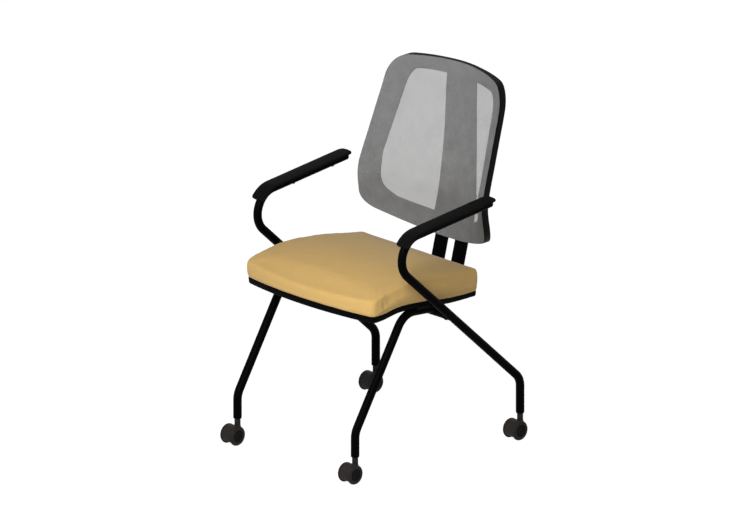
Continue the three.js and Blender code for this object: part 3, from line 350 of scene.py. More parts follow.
def mouldedGroup():
    # a moulded or coated surface: fine grain, a slow drift of colour and gloss, paler at worn edges
    group, given, result = newGroup("mouldedSurface", [
        ("Colour", "NodeSocketColor", (0.01, 0.01, 0.01, 1)),
        ("Worn Colour", "NodeSocketColor", (0.03, 0.03, 0.03, 1)),
        ("Grain Scale", "NodeSocketFloat", 900),
        ("Drift", "NodeSocketFloat", 0.15),
        ("Wear", "NodeSocketFloat", 0.3),
        ("Gloss", "NodeSocketFloat", 0.5),
    ], [("Colour", "NodeSocketColor"), ("Roughness", "NodeSocketFloat"), ("Height", "NodeSocketFloat")])
    look = mouldedLook
    where = group.nodes.new("ShaderNodeTexCoord").outputs["Object"]
    geometry = group.nodes.new("ShaderNodeNewGeometry")
    slow = noiseNode(group, where, look["driftScale"], 3)
    cloud = noiseNode(group, where, look["cloudScale"], 4, 0.6)
    grain = noiseNode(group, where, given.outputs["Grain Scale"], 2, 0.55)
    drift = times(group, minus(group, slow, 0.5), given.outputs["Drift"])
    bright = plus(group, 1, times(group, drift, 2))
    lit = vectorNode(group, "SCALE", given.outputs["Colour"], bright)
    sharp = minus(group, geometry.outputs["Pointiness"], look["wornFrom"])
    edge = times(group, sharp, look["wornRate"], clamp=True)
    worn = times(group, times(group, edge, cloud), given.outputs["Wear"], clamp=True)
    group.links.new(mixColour(group, worn, lit, given.outputs["Worn Colour"]), result.inputs["Colour"])
    matte = minus(group, 1, given.outputs["Gloss"])
    rough = plus(group, matte, times(group, minus(group, cloud, 0.5), look["roughSpread"]))
    group.links.new(rough, result.inputs["Roughness"])
    group.links.new(grain, result.inputs["Height"])
    return group


# gap: painted shade, how far the colour in the gaps between threads is darkened towards the Shade colour
wovenLook = {"facing": 0.6, "swayScale": 0.08, "sway": 1.6, "slubScale": 0.35, "slubHeight": 0.9,
             "threadHeight": 0.5, "gap": 0.25, "broadScale": 0.035, "rough": 0.86, "roughSpread": 0.1}


def wovenGroup():
    # plain weave laid on each side by its own normal, with slubs and slow mottling, and painted shade
    # darkening the gaps between threads
    group, given, result = newGroup("wovenCloth", [
        ("Colour", "NodeSocketColor", (0.5, 0.33, 0.12, 1)),
        ("Shade", "NodeSocketColor", (0.4, 0.26, 0.09, 1)),
        ("Thread", "NodeSocketFloat", 1.1),
        ("Mottle", "NodeSocketFloat", 0.3),
    ], [("Colour", "NodeSocketColor"), ("Roughness", "NodeSocketFloat"), ("Height", "NodeSocketFloat")])
    look = wovenLook
    where = group.nodes.new("ShaderNodeTexCoord")
    millimetres = vectorNode(group, "MULTIPLY", where.outputs["Object"], (1000, 1000, 1000))
    place = group.nodes.new("ShaderNodeSeparateXYZ")
    group.links.new(millimetres, place.inputs[0])
    facing = group.nodes.new("ShaderNodeSeparateXYZ")
    group.links.new(where.outputs["Normal"], facing.inputs[0])
    top = mathNode(group, "ABSOLUTE", facing.outputs["Z"])
    front = mathNode(group, "ABSOLUTE", facing.outputs["Y"])
    onTop = mathNode(group, "GREATER_THAN", top, look["facing"])
    onFront = mathNode(group, "GREATER_THAN", front, look["facing"])
    useX = mathNode(group, "MAXIMUM", onTop, onFront)
    alongSide = times(group, place.outputs["Y"], minus(group, 1, useX))
    u = plus(group, times(group, place.outputs["X"], useX), alongSide)
    upright = times(group, place.outputs["Z"], minus(group, 1, onTop))
    v = plus(group, times(group, place.outputs["Y"], onTop), upright)
    sway = times(group, noiseNode(group, millimetres, look["swayScale"], 3), look["sway"])
    turns = mathNode(group, "DIVIDE", math.pi, given.outputs["Thread"])
    warp = mathNode(group, "SINE", times(group, plus(group, u, sway), turns))
    weft = mathNode(group, "SINE", times(group, plus(group, v, sway), turns))
    cross = times(group, warp, weft)
    thread = plus(group, 0.5, times(group, cross, 0.5))
    slub = noiseNode(group, millimetres, look["slubScale"], 3, 0.65)
    broad = noiseNode(group, millimetres, look["broadScale"], 3, 0.55)
    height = plus(group, times(group, thread, look["threadHeight"]), times(group, slub, look["slubHeight"]))
    group.links.new(height, result.inputs["Height"])
    # painted shade: the colour darkens in the gaps between threads, where the weave lies low
    paintedGapShade = times(group, minus(group, 1, thread), look["gap"])
    patch = times(group, minus(group, broad, 0.5), given.outputs["Mottle"])
    fleck = times(group, minus(group, slub, 0.5), given.outputs["Mottle"])
    # the Shade colour takes both the painted gap shade and the random mottle
    share = plus(group, paintedGapShade, plus(group, patch, fleck), clamp=True)
    dyed = mixColour(group, share, given.outputs["Colour"], given.outputs["Shade"])
    group.links.new(dyed, result.inputs["Colour"])
    rough = plus(group, look["rough"], times(group, thread, look["roughSpread"]))
    group.links.new(rough, result.inputs["Roughness"])
    return group


knitLook = {"holeRate": 6, "fuzzScale": 0.28, "fuzz": 1.6, "slowScale": 0.03, "level": 0.8}


def knitGroup():
    # open knit: staggered holes in width and height, with the yarn raised on its crowns for the bump and a
    # random fuzz of tone
    group, given, result = newGroup("openKnit", [
        ("Yarn", "NodeSocketColor", (0.26, 0.26, 0.26, 1)),
        ("Yarn Shade", "NodeSocketColor", (0.16, 0.165, 0.17, 1)),
        ("Wale", "NodeSocketFloat", 2.3),
        ("Course", "NodeSocketFloat", 1.9),
        ("Hole", "NodeSocketFloat", 0.9),
    ], [("Colour", "NodeSocketColor"), ("Alpha", "NodeSocketFloat"), ("Height", "NodeSocketFloat")])
    look = knitLook
    where = group.nodes.new("ShaderNodeTexCoord").outputs["Object"]
    millimetres = vectorNode(group, "MULTIPLY", where, (1000, 1000, 1000))
    place = group.nodes.new("ShaderNodeSeparateXYZ")
    group.links.new(millimetres, place.inputs[0])
    wale = mathNode(group, "DIVIDE", place.outputs["X"], given.outputs["Wale"])
    course = mathNode(group, "DIVIDE", place.outputs["Z"], given.outputs["Course"])
    one = mathNode(group, "COSINE", times(group, plus(group, wale, course), math.pi))
    other = mathNode(group, "COSINE", times(group, minus(group, wale, course), math.pi))
    field = plus(group, one, other)
    holes = times(group, minus(group, field, given.outputs["Hole"]), look["holeRate"], clamp=True)
    group.links.new(minus(group, 1, holes), result.inputs["Alpha"])
    yarn = times(group, plus(group, field, 2), 0.25)
    group.links.new(yarn, result.inputs["Height"])
    fuzz = noiseNode(group, millimetres, look["fuzzScale"], 2, 0.7)
    slow = noiseNode(group, millimetres, look["slowScale"], 3)
    both = minus(group, plus(group, times(group, fuzz, look["fuzz"]), slow), look["level"])
    share = times(group, both, 1, clamp=True)
    dyed = mixColour(group, share, given.outputs["Yarn"], given.outputs["Yarn Shade"])
    group.links.new(dyed, result.inputs["Colour"])
    return group


groups = {"moulded": mouldedGroup(), "woven": wovenGroup(), "knit": knitGroup()}
print("shader groups made")


def newMaterial(name, group, values, bumpHeight, bumpStrength, shader):
    material = bpy.data.materials.new(name)
    material.use_nodes = True
    tree = material.node_tree
    principled = tree.nodes["Principled BSDF"]
    for socketName, value in shader.items():
        principled.inputs[socketName].default_value = value
    node = tree.nodes.new("ShaderNodeGroup")
    node.node_tree = group
    for socketName, value in values.items():
        node.inputs[socketName].default_value = value
    tree.links.new(node.outputs["Colour"], principled.inputs["Base Color"])
    if "Roughness" in node.outputs:
        tree.links.new(node.outputs["Roughness"], principled.inputs["Roughness"])
    if "Alpha" in node.outputs:
        tree.links.new(node.outputs["Alpha"], principled.inputs["Alpha"])
    bump = tree.nodes.new("ShaderNodeBump")
    bump.inputs["Distance"].default_value = bumpHeight * mm
    bump.inputs["Strength"].default_value = bumpStrength
    tree.links.new(node.outputs["Height"], bump.inputs["Height"])
    tree.links.new(bump.outputs["Normal"], principled.inputs["Normal"])
    return material


def colour(red, green, blue):
    # a colour as seen on a screen, from 0 to 255, turned into the linear values that a shader takes
    linear = [((c / 255 + 0.055) / 1.055) ** 2.4 if c > 10 else c / 255 / 12.92 for c in (red, green, blue)]
    return (*linear, 1)


mouldedFinishes = {
    "powderCoat": {"colour": (3, 3, 4), "worn": (9, 9, 10), "grain": 1100, "drift": 0.2,
                   "wear": 0.15, "gloss": 0.5, "bump": (0.06, 0.25), "specular": 0.014},
    "backPlastic": {"colour": (10, 10, 11), "worn": (26, 26, 28), "grain": 1500, "drift": 0.2,
                    "wear": 0.2, "gloss": 0.42, "bump": (0.08, 0.35), "specular": 0.04},
    "armPad": {"colour": (13, 12, 12), "worn": (24, 22, 21), "grain": 1300, "drift": 0.25,
               "wear": 0.25, "gloss": 0.4, "bump": (0.1, 0.4), "specular": 0.02},
    "panPlastic": {"colour": (4, 4, 5), "worn": (12, 12, 12), "grain": 1200, "drift": 0.2,
                   "wear": 0.2, "gloss": 0.4, "bump": (0.1, 0.4), "specular": 0.02},
    "casterPlastic": {"colour": (38, 35, 33), "worn": (60, 55, 52), "grain": 1400, "drift": 0.25,
                      "wear": 0.35, "gloss": 0.5, "bump": (0.08, 0.35), "specular": 0.06},
    "casterCap": {"colour": (13, 13, 14), "worn": (28, 26, 25), "grain": 1400, "drift": 0.2,
                  "wear": 0.25, "gloss": 0.45, "bump": (0.08, 0.35), "specular": 0.04},
    "blackNylon": {"colour": (12, 12, 12), "worn": (30, 30, 30), "grain": 1400, "drift": 0.2,
                   "wear": 0.2, "gloss": 0.45, "bump": (0.08, 0.35), "specular": 0.04},
    "blackRubber": {"colour": (15, 15, 15), "worn": (36, 36, 36), "grain": 1000, "drift": 0.25,
                    "wear": 0.3, "gloss": 0.2, "bump": (0.12, 0.5), "specular": 0.04},
    "zincSteel": {"colour": (176, 178, 182), "worn": (205, 206, 208), "grain": 2200, "drift": 0.2,
                  "wear": 0.4, "gloss": 0.68, "bump": (0.03, 0.3), "specular": 0.5, "metallic": 1.0},
}
clothFinishes = {
    "seatFabric": {
        "group": "woven", "bump": (0.35, 0.5),
        # Shade is the colour for both the painted shade in the thread gaps and the random mottle
        "values": {"Colour": colour(198, 163, 99), "Shade": colour(168, 135, 76), "Thread": 1.1,
                   "Mottle": 0.35},
        "shader": {"Specular IOR Level": 0.2, "Sheen Weight": 0.12, "Sheen Roughness": 0.5},
    },
    "backKnit": {
        "group": "knit", "bump": (0.3, 0.4),
        "values": {"Yarn": colour(150, 150, 149), "Yarn Shade": colour(118, 120, 122), "Wale": 1.9,
                   "Course": 1.5, "Hole": 0.58},
        "shader": {"Specular IOR Level": 0.15, "Roughness": 0.85},
    },
}


def makeMaterials():
    made = {}
    for name, v in mouldedFinishes.items():
        values = {"Colour": colour(*v["colour"]), "Worn Colour": colour(*v["worn"]),
                  "Grain Scale": v["grain"], "Drift": v["drift"], "Wear": v["wear"], "Gloss": v["gloss"]}
        shader = {"Specular IOR Level": v["specular"], "Metallic": v.get("metallic", 0.0)}
        made[name] = newMaterial(name, groups["moulded"], values, *v["bump"], shader)
    for name, v in clothFinishes.items():
        made[name] = newMaterial(name, groups[v["group"]], v["values"], *v["bump"], v["shader"])
    return made


materials = makeMaterials()
print("materials made:", len(materials))


tubeValues = {"radius": 11, "sides": 40, "lip": 1.2, "armX": 259.5, "legX": 211.5}
armRoute = [(447, 650.6), (57.1, 614.4, 59), (555.1, 157.4, 45), (555.1, 67.5)]
legRoute = [(17.4, 67.5), (17.4, 128.7, 50), (190, 406.5, 57), (318, 394.2)]
weldValues = {"bead": 2.2, "steps": 40, "sides": 10, "ripple": 0.35, "ripples": 22}


def weldBead(name, centre, normal, radius):
    # a rippled bead round a tube of that radius, where it meets another tube
    v = weldValues
    across = normal.orthogonal().normalized()
    up = normal.cross(across)
    rings = []
    for k in range(v["steps"]):
        angle = 2 * math.pi * k / v["steps"]
        outward = across * math.cos(angle) + up * math.sin(angle)
        size = v["bead"] + v["ripple"] * math.sin(v["ripples"] * angle)
        middle = centre + outward * radius * mm
        rings.append([middle + (outward * a + normal * b) * mm for a, b in roundSection(size, v["sides"])])
    return outwards(skinned(name, rings, closedRings=True))


def makeSideFrames():
    v = tubeValues
    cross = boxMiddle("cross_tube")
    section = roundSection(v["radius"], v["sides"])
    ends = [Vector((x * mm, cross.y, cross.z)) for x in (-v["armX"], v["armX"])]
    rings = [[end + Vector((0, a * mm, b * mm)) for a, b in section] for end in ends]
    beads = []
    for side, sign in sideSigns.items():
        for part, route, x in (("arm_tube", armRoute, v["armX"]), ("front_leg", legRoute, v["legX"])):
            line = bentLine(route)
            bar = roundedBar(f"{part}_fine_{side}", line, sign * x, v["radius"], v["sides"], v["lip"])
            finished(bar, "frame", materials["powderCoat"], "powder_coat", f"{part}_{side}")
        inside = Vector((sign * (v["armX"] - v["radius"]) * mm, cross.y, cross.z))
        beads.append(weldBead("bead", inside, Vector((1, 0, 0)), v["radius"]))
    crossPiece = joined("cross_tube_fine", [outwards(skinned("cross", rings)), *beads])
    finished(crossPiece, "frame", materials["powderCoat"], "powder_coat", "cross_tube")
    print("side frames made")


barValues = {"x": 35, "width": 42, "thickness": 8, "round": 1.6, "frontY": 286, "bendY": 543.8,
             "bendRadius": 42, "stepDegrees": 4, "lean": 0.262, "topZ": 585}
backScrewHeights = (530, 566)
padScrewPlaces = {"front": 185, "rear": 47}
screwValues = {
    "back": {"shank": 2.5, "bite": 4, "under": 8.3, "head": 3, "radius": 5.5, "edge": 0.3, "dome": 1.1,
             "key": 1.7, "sink": 1.5},
    "pad": {"shank": 2, "bite": 2.3, "under": 0.3, "head": 2.2, "radius": 4, "edge": 0.3, "dome": 0.8,
            "key": 1.3, "sink": 1.1},
}
domeShares = ((0.45, 0.93), (0.12, 0.75), (0, 0.5))  # below the top, and out from the middle


def roundedRectangle(width, height, radius, steps=4):
    points = []
    for cx, cy, start in ((1, 1, 0), (-1, 1, 90), (-1, -1, 180), (1, -1, 270)):
        for k in range(steps + 1):
            angle = math.radians(start + 90 * k / steps)
            points.append((cx * (width / 2 - radius) + radius * math.cos(angle),
                           cy * (height / 2 - radius) + radius * math.sin(angle)))
    return points


def barLevel():
    # the middle height of the bars where they run under the seat
    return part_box("back_bar_left")[0].z / mm + barValues["thickness"] / 2


def barFace(x, z):
    # a point on the front face of an upright, and the way to the rear square to that face
    v = barValues
    y = v["bendY"] + (z - barLevel()) * v["lean"] - v["thickness"] / 2 * math.hypot(1, v["lean"])
    return at(x, y, z), Vector((0, 1, -v["lean"])).normalized()


def makeBackBars():
    v = barValues
    z = barLevel()
    top = (v["bendY"] + (v["topZ"] - z) * v["lean"], v["topZ"])
    line = bentLine([(v["frontY"], z), (v["bendY"], z, v["bendRadius"]), top], v["stepDegrees"])
    section = roundedRectangle(v["width"], v["thickness"], v["round"])
    small = roundedRectangle(v["width"] - v["round"], v["thickness"] - v["round"], v["round"] / 2)
    (first, ahead), (last, onward) = line[0], line[-1]
    near = (first + ahead * v["round"] / 2, ahead)
    far = (last - onward * v["round"] / 2, onward)
    path = [line[0], near, *line[1:-1], far, line[-1]]
    sections = [small] + [section] * (len(path) - 2) + [small]
    for side, sign in sideSigns.items():
        rings = sweptRings(path, sections, sign * v["x"])
        bar = outwards(skinned("back_bar_fine_" + side, rings, smoothAngle=50))
        finished(bar, "frame", materials["powderCoat"], "powder_coat", "back_bar_" + side)
    print("back bars made")


def makeScrew(name, kind, origin, way, replaced):
    # a domed screw with a hexagon socket: it points against way, and its head stands off origin along way
    v = screwValues[kind]
    top = v["under"] + v["head"]

    def hexagon(angle):
        return v["key"] / math.cos(angle % (math.pi / 3) - math.pi / 6)

    floor = top - v["sink"]
    under, radius = v["under"], v["radius"]
    profile = [(-v["bite"], 0), (-v["bite"], v["shank"]), (under, v["shank"]), (under, radius - v["edge"]),
               (under + v["edge"], radius), (top - v["dome"], radius)]
    profile += [(top - v["dome"] * drop, radius * share) for drop, share in domeShares]
    profile += [(top, hexagon), (floor, hexagon), (floor, 0)]
    screw = turned(name, profile, origin, way, smoothAngle=30)
    finished(screw, "frame", materials["zincSteel"], "zinc_steel", replaced)


def makeScrews():
    slope = math.atan2(armRoute[0][1] - armRoute[1][1], armRoute[0][0] - armRoute[1][0])
    down = Vector((0, math.sin(slope), -math.cos(slope)))
    for side, sign in sideSigns.items():
        for end, z in zip(("lower", "upper"), backScrewHeights):
            origin, way = barFace(sign * barValues["x"], z)
            makeScrew(f"back_screw_fine_{side}_{end}", "back", origin, way, f"back_screw_{side}_{end}")
        for end, inward in padScrewPlaces.items():
            y, z = armRoute[0]
            middle = at(sign * tubeValues["armX"], y - inward, z - inward * math.tan(slope))
            origin = middle + down * tubeValues["radius"] * mm
            makeScrew(f"arm_pad_screw_fine_{side}_{end}", "pad", origin, down, f"arm_pad_screw_{side}_{end}")
    print("screws made")


def keepNode(node, material, edge=0.0):
    # a CAD node that stays as it is, with softened edges and a finish
    piece = nodes[node]
    piece.data.materials.clear()
    piece.data.materials.append(materials[material])
    if edge:
        roundEdges(piece, edge)
    return piece


def dressKeptNodes():
    for side in sideSigns:
        keepNode("hinge_lug_" + side, "powderCoat", 0.5)
        keepNode("hinge_plate_" + side, "powderCoat", 0.4)
        keepNode("hinge_bush_" + side, "blackNylon")
        keepNode("tube_end_plug_" + side, "blackNylon", 0.4)
        keepNode("seat_bumper_" + side, "blackRubber", 0.4)
        for end in ("front", "rear"):
            keepNode(f"caster_socket_{end}_{side}", "blackNylon", 0.3)
            keepNode(f"caster_stem_{end}_{side}", "zincSteel")
            keepNode(f"caster_axle_{end}_{side}", "zincSteel")
    keepNode("hinge_rod", "zincSteel", 0.3)
    print("kept nodes dressed")


casterValues = {"wheelRadius": 25.5, "halfLength": 21.7, "rimInner": 15.2, "hubRadius": 21.6,
                "rimRound": 5, "rimSteps": 8, "capRadius": 16, "capSink": 0.8, "capSeat": 1.6,
                "capLip": 0.3, "capGap": 0.35, "capThickness": 1.4, "dish": 0.25, "dishShares": (0.45, 0.42),
                "hubFace": 2.9, "axleBore": 2.8, "boreEnd": 18.9, "hoodRadius": 25, "hoodHalf": 14.6,
                "hoodWall": 2.7, "webHalf": 2.3, "webBore": 2.5, "hoodOpen": 31, "edge": 0.7, "steps": 72}
neckValues = {"radius": 7.8, "flare": 2.2, "top": 40.2}
neckFlares = ((0, 1), (14, 1), (17, 0.6), (20, 0.15), (23, 0))  # height over the axle, share of the flare


def wheelProfile():
    v = casterValues
    end, cap, lip, e = v["halfLength"], v["capRadius"], v["capLip"], v["edge"]
    tread, inside, hub, bore = v["wheelRadius"], v["rimInner"], v["hubRadius"], v["axleBore"]
    r, steps = v["rimRound"], v["rimSteps"]
    seat = end - v["capSink"] - v["capSeat"]
    profile = [(seat, 0), (seat, cap), (end - lip, cap + lip / 3), (end, cap + lip * 2)]
    for k in range(steps + 1):
        angle = math.pi / 2 * k / steps
        profile.append((end - r + r * math.cos(angle), tread - r + r * math.sin(angle)))
    profile += [(inside + e, tread), (inside, tread - e), (inside, hub), (v["hubFace"], hub),
                (v["hubFace"], bore), (v["boreEnd"], bore), (v["boreEnd"], 0)]
    return profile


def capProfile():
    v = casterValues
    face = v["halfLength"] - v["capSink"]
    radius = v["capRadius"] - v["capGap"]
    behind = face - v["capThickness"]
    outer, inner = (radius * share for share in v["dishShares"])
    return [(behind, 0), (behind, radius), (face - v["edge"] / 2, radius), (face, radius - v["edge"]),
            (face, outer), (face - v["dish"], inner), (face - v["dish"], 0)]


def hoodBarrel(name, centre):
    # the barrel over both wheels, open below, on the web between them
    v = casterValues
    inner = v["hoodRadius"] - v["hoodWall"]
    half = [(v["webHalf"], v["webBore"]), (v["webHalf"], inner), (v["hoodHalf"], inner),
            (v["hoodHalf"], v["hoodRadius"] - v["edge"]), (v["hoodHalf"] - v["edge"], v["hoodRadius"])]
    section = [(-x, r) for x, r in half] + [(x, r) for x, r in reversed(half)]
    rings = []
    start, stop = -v["hoodOpen"], 180 + v["hoodOpen"]
    for k in range(v["steps"] + 1):
        angle = math.radians(start + (stop - start) * k / v["steps"])
        out = Vector((0, math.cos(angle), math.sin(angle)))
        rings.append([centre + (Vector((x, 0, 0)) + out * r) * mm for x, r in section])
    return outwards(skinned(name, rings))


def neckProfile():
    radius, top, e = neckValues["radius"], neckValues["top"], casterValues["edge"]
    flares = [(z, radius + neckValues["flare"] * share) for z, share in neckFlares]
    return [(0, 0), *flares, (top - e, radius), (top, radius - e), (top, 0)]


def makeCasters():
    axle = Vector((1, 0, 0))
    steps = casterValues["steps"]
    plastic = materials["casterPlastic"]
    for name in [f"{end}_{side}" for end in ("front", "rear") for side in sideSigns]:
        centre = boxMiddle("caster_axle_" + name)
        stem = boxMiddle("caster_stem_" + name)
        neck = turned("neck", neckProfile(), Vector((stem.x, stem.y, centre.z)))
        hood = joined("caster_hood_fine_" + name, [hoodBarrel("barrel", centre), neck])
        finished(hood, "caster_" + name, plastic, "caster_plastic", "caster_hood_" + name)
        for letter, way in (("a", 1), ("b", -1)):
            place = f"{name}_{letter}"
            outline = [(way * x, r) for x, r in wheelProfile()]
            wheel = turned("caster_wheel_fine_" + place, outline, centre, axle, steps)
            finished(wheel, "wheel_" + place, plastic, "caster_plastic", "caster_wheel_" + place)
            outline = [(way * x, r) for x, r in capProfile()]
            cap = turned("caster_cap_" + place, outline, centre, axle, steps)
            finished(cap, "wheel_" + place, materials["casterCap"], "caster_plastic")
    print("casters made")


padValues = {"width": 45, "edge": 8.3, "crown": 1.4, "crownSteps": 4, "underside": 5.4, "channel": 11.3,
             "channelWall": 0.6, "rearPast": 7, "noseTurn": 0.8, "endRound": 15, "tipShare": 0.62,
             "topRound": 2.2, "lowRound": 1.4, "lid": 4.6, "drawIn": 7, "soft": 0.8, "roundSteps": 4,
             "endSteps": 14, "noseLength": 7, "noseShare": 0.66, "noseSteps": 8}


def padSection(half):
    # a lid with rounded edges, over a body that draws in towards the channel for the tube
    v = padValues
    underside, channel, soft = v["underside"], v["channel"], v["soft"]
    top = underside + v["edge"]
    lid = top - v["lid"]
    r, low = v["topRound"], v["lowRound"]
    steps = v["roundSteps"]
    right = []
    for k in range(v["crownSteps"] + 1):
        x = (half - r) * k / v["crownSteps"]
        right.append((x, top + v["crown"] * (1 - (x / half) ** 2)))
    for k in range(1, steps + 1):
        angle = math.pi / 2 * k / steps
        right.append((half - r + r * math.sin(angle), top - r + r * math.cos(angle)))
    for k in range(steps + 1):
        angle = math.pi / 2 * k / steps
        right.append((half - low + low * math.cos(angle), lid + low - low * math.sin(angle)))
    foot = max(half - v["drawIn"], channel + v["channelWall"])
    right += [(foot + soft, lid - soft / 2), (foot, underside + soft), (foot - soft, underside)]
    mouth = math.acos(underside / channel)
    for k in range(steps + 3):
        angle = mouth * (1 - k / (steps + 2))
        right.append((channel * math.sin(angle), channel * math.cos(angle)))
    left = [(-x, z) for x, z in reversed(right[1:-1])]
    return right + left


def makeArmPads():
    v = padValues
    stations = bentLine(armRoute[:3], 1.5)
    start, along = stations[0]
    rear = start - along * v["rearPast"]
    path = []
    sections = []
    wide = v["width"] / 2
    for k in range(v["endSteps"] + 1):
        angle = math.pi / 2 * k / v["endSteps"]
        path.append((rear + along * v["endRound"] * (1 - math.cos(angle)), along))
        sections.append(padSection(wide * (v["tipShare"] + (1 - v["tipShare"]) * math.sin(angle))))
    for point, direction in stations[1:]:
        if along.angle(direction) <= v["noseTurn"]:
            path.append((point, direction))
            sections.append(padSection(wide))
    nose, direction = path[-1]
    for k in range(1, v["noseSteps"] + 1):
        angle = math.pi / 2 * k / v["noseSteps"]
        path.append((nose + direction * v["noseLength"] * math.sin(angle), direction))
        sections.append(padSection(wide * (v["noseShare"] + (1 - v["noseShare"]) * math.cos(angle))))
    under = [[(x, -z) for x, z in section] for section in sections]
    for side, sign in sideSigns.items():
        pad = outwards(skinned("arm_pad_fine_" + side, sweptRings(path, under, sign * tubeValues["armX"])))
        finished(pad, "frame", materials["armPad"], "arm_pad", "arm_pad_" + side)
    print("arm pads made")


backValues = {"planRadius": 312.5, "front": 1.2, "skin": 3.6, "wall": 3.4, "faceShares": (0.35, 0.7),
              "sideDepth": 22, "bottomDepth": 15.5, "bottomDepthX": 150, "topDepth": 12,
              "topDepthX": (45, 191.5), "openingDepth": 7.5, "edge": 1.1, "bead": 8, "beadFoot": 24,
              "beadSteps": 5, "beadCurve": 1.6, "cornerReach": 0.55}
meshValues = {"behind": 0.45, "rimShares": (0.015, 0.1, 0.3, 0.5, 0.7, 0.9, 1), "rings": 16}
backProfile = [(472, 548), (524, 546), (564, 540.5), (614, 534), (650, 539), (720, 559.5), (796, 582),
               (841, 595.5), (880, 604.5), (925, 609)]
outerEdge = {"bottomZ": 472, "bottomRadius": 420, "bottomX": 190, "sideLow": (225.3, 566),
             "sideMid": (223.5, 645), "sideHigh": (206, 857), "topX": 152, "topZ": 922.6, "topRadius": 2273}
openingEdge = {"bottomZ": 532.5, "bottomRadius": 476, "bottomX": 126, "sideLow": (176, 604),
               "sideMid": (177.5, 672), "sideHigh": (158, 838), "topX": 124, "topZ": 886, "topRadius": 5000}
spineValues = {"skin": 3.6, "wall": 3.4, "depth": 9.5, "flangeInset": 5.5, "soft": 0.6, "steps": 60,
               "ribs": [640, 700, 760, 820], "ribThickness": 3, "ribDepth": 7, "ribSteps": 8,
               "bow": 4.2, "bowFrom": 740, "bowOver": 120, "bossRadius": 7, "bossSeat": 0.3, "bossShort": 1}
spineProfile = [(500, 569.5), (530, 577.6), (560, 583.5), (600, 588.8), (658, 593.5), (701, 596.6),
                (743, 598.7), (790, 600), (830, 600.8), (888, 603.5), (912, 606)]
spineHalves = [(500, 72), (524, 70), (600, 64.8), (658, 61), (701, 58.5), (743, 56.6), (830, 54), (912, 52)]


def backY(x, z):
    return smoothTable(backProfile, z) - x * x / (2 * backValues["planRadius"])


def backOutline(edge, fine=4):
    bottomRise = edge["bottomX"] ** 2 / (2 * edge["bottomRadius"])
    topDrop = edge["topX"] ** 2 / (2 * edge["topRadius"])
    start = Vector((0, edge["bottomZ"]))
    low = Vector((edge["bottomX"], edge["bottomZ"] + bottomRise))
    sideLow, sideMid, sideHigh = (Vector(edge[k]) for k in ("sideLow", "sideMid", "sideHigh"))
    high = Vector((edge["topX"], edge["topZ"] - topDrop))
    reach = backValues["cornerReach"]
    lowWay = Vector((1, edge["bottomX"] / edge["bottomRadius"])).normalized()
    upWay = (sideMid - sideLow).normalized()
    highWay = (sideHigh - sideMid).normalized()
    topWay = Vector((1, -edge["topX"] / edge["topRadius"]))
    lowSpan = (sideLow - low).length / math.sqrt(2) * reach
    highSpan = (high - sideHigh).length / math.sqrt(2) * reach
    return mirroredOutline([
        ([start, Vector((edge["bottomX"] / 2, edge["bottomZ"])), low], 4 * fine),
        ([low, low + lowWay * lowSpan, sideLow - upWay * lowSpan, sideLow], 5 * fine),
        ([sideLow, sideMid], 2 * fine),
        ([sideMid, sideHigh], 4 * fine),
        ([sideHigh, sideHigh + highWay * highSpan, high + topWay * highSpan, high], 5 * fine),
        ([high, Vector((edge["topX"] / 2, edge["topZ"])), Vector((0, edge["topZ"]))], 4 * fine),
    ])


outerLine = backOutline(outerEdge)
openingLine = backOutline(openingEdge)


def backRing(share, depth, inset=0):
    ring = []
    for p, q in zip(outerLine, openingLine):
        width = (q - p).length
        place = p.lerp(q, min(max(share + inset / width, 0), 1))
        behind = depth(place) if callable(depth) else depth
        ring.append(at(place.x, backY(place.x, place.y) + behind, place.y))
    return ring


def rimDepth(place):
    # full down the sides, shallower towards the middle of the top and bottom
    v = backValues
    if place.y < outerEdge["sideLow"][1]:
        share = smoothStep(abs(place.x) / v["bottomDepthX"])
        return v["bottomDepth"] + (v["sideDepth"] - v["bottomDepth"]) * share
    if place.y > outerEdge["sideHigh"][1]:
        near, far = v["topDepthX"]
        share = smoothStep((abs(place.x) - near) / (far - near))
        return v["topDepth"] + (v["sideDepth"] - v["topDepth"]) * share
    return v["sideDepth"]


def makeRim():
    v = backValues
    front, e, wall = v["front"], v["edge"], v["wall"]
    near, far = v["faceShares"]
    inner, lip = front + v["skin"], front + v["openingDepth"]

    def behind(share, less=0):
        return lambda place: inner + (front + rimDepth(place) - inner) * share - less

    rings = [backRing(0, front + e / 2), backRing(0, front, e), backRing(near, front), backRing(far, front),
             backRing(1, front, -e), backRing(1, front + e / 2), backRing(1, lip - e), backRing(1, lip, -e),
             backRing(1, lip, e - wall), backRing(1, lip - e, -wall), backRing(1, inner + e, -wall),
             backRing(1, inner, -wall - e)]
    for k in range(v["beadSteps"] + 1):
        share = k / v["beadSteps"]
        inset = v["beadFoot"] + (v["bead"] - v["beadFoot"]) * share
        rings.append(backRing(0, behind(share ** v["beadCurve"]), inset))
    rings += [backRing(0, behind(1), e), backRing(0, behind(1, e))]
    return outwards(skinned("rim", rings, closedRings=True))


def spineAt(x, z, depth):
    # a point of the spine at a depth behind its front face, which bows back in the middle near the top
    v = spineValues
    bow = v["bow"] * smoothStep((z - v["bowFrom"]) / v["bowOver"])
    out = x / smoothTable(spineHalves, z)
    return at(x, smoothTable(spineProfile, z) + bow * (1 - out ** 2) + depth, z)


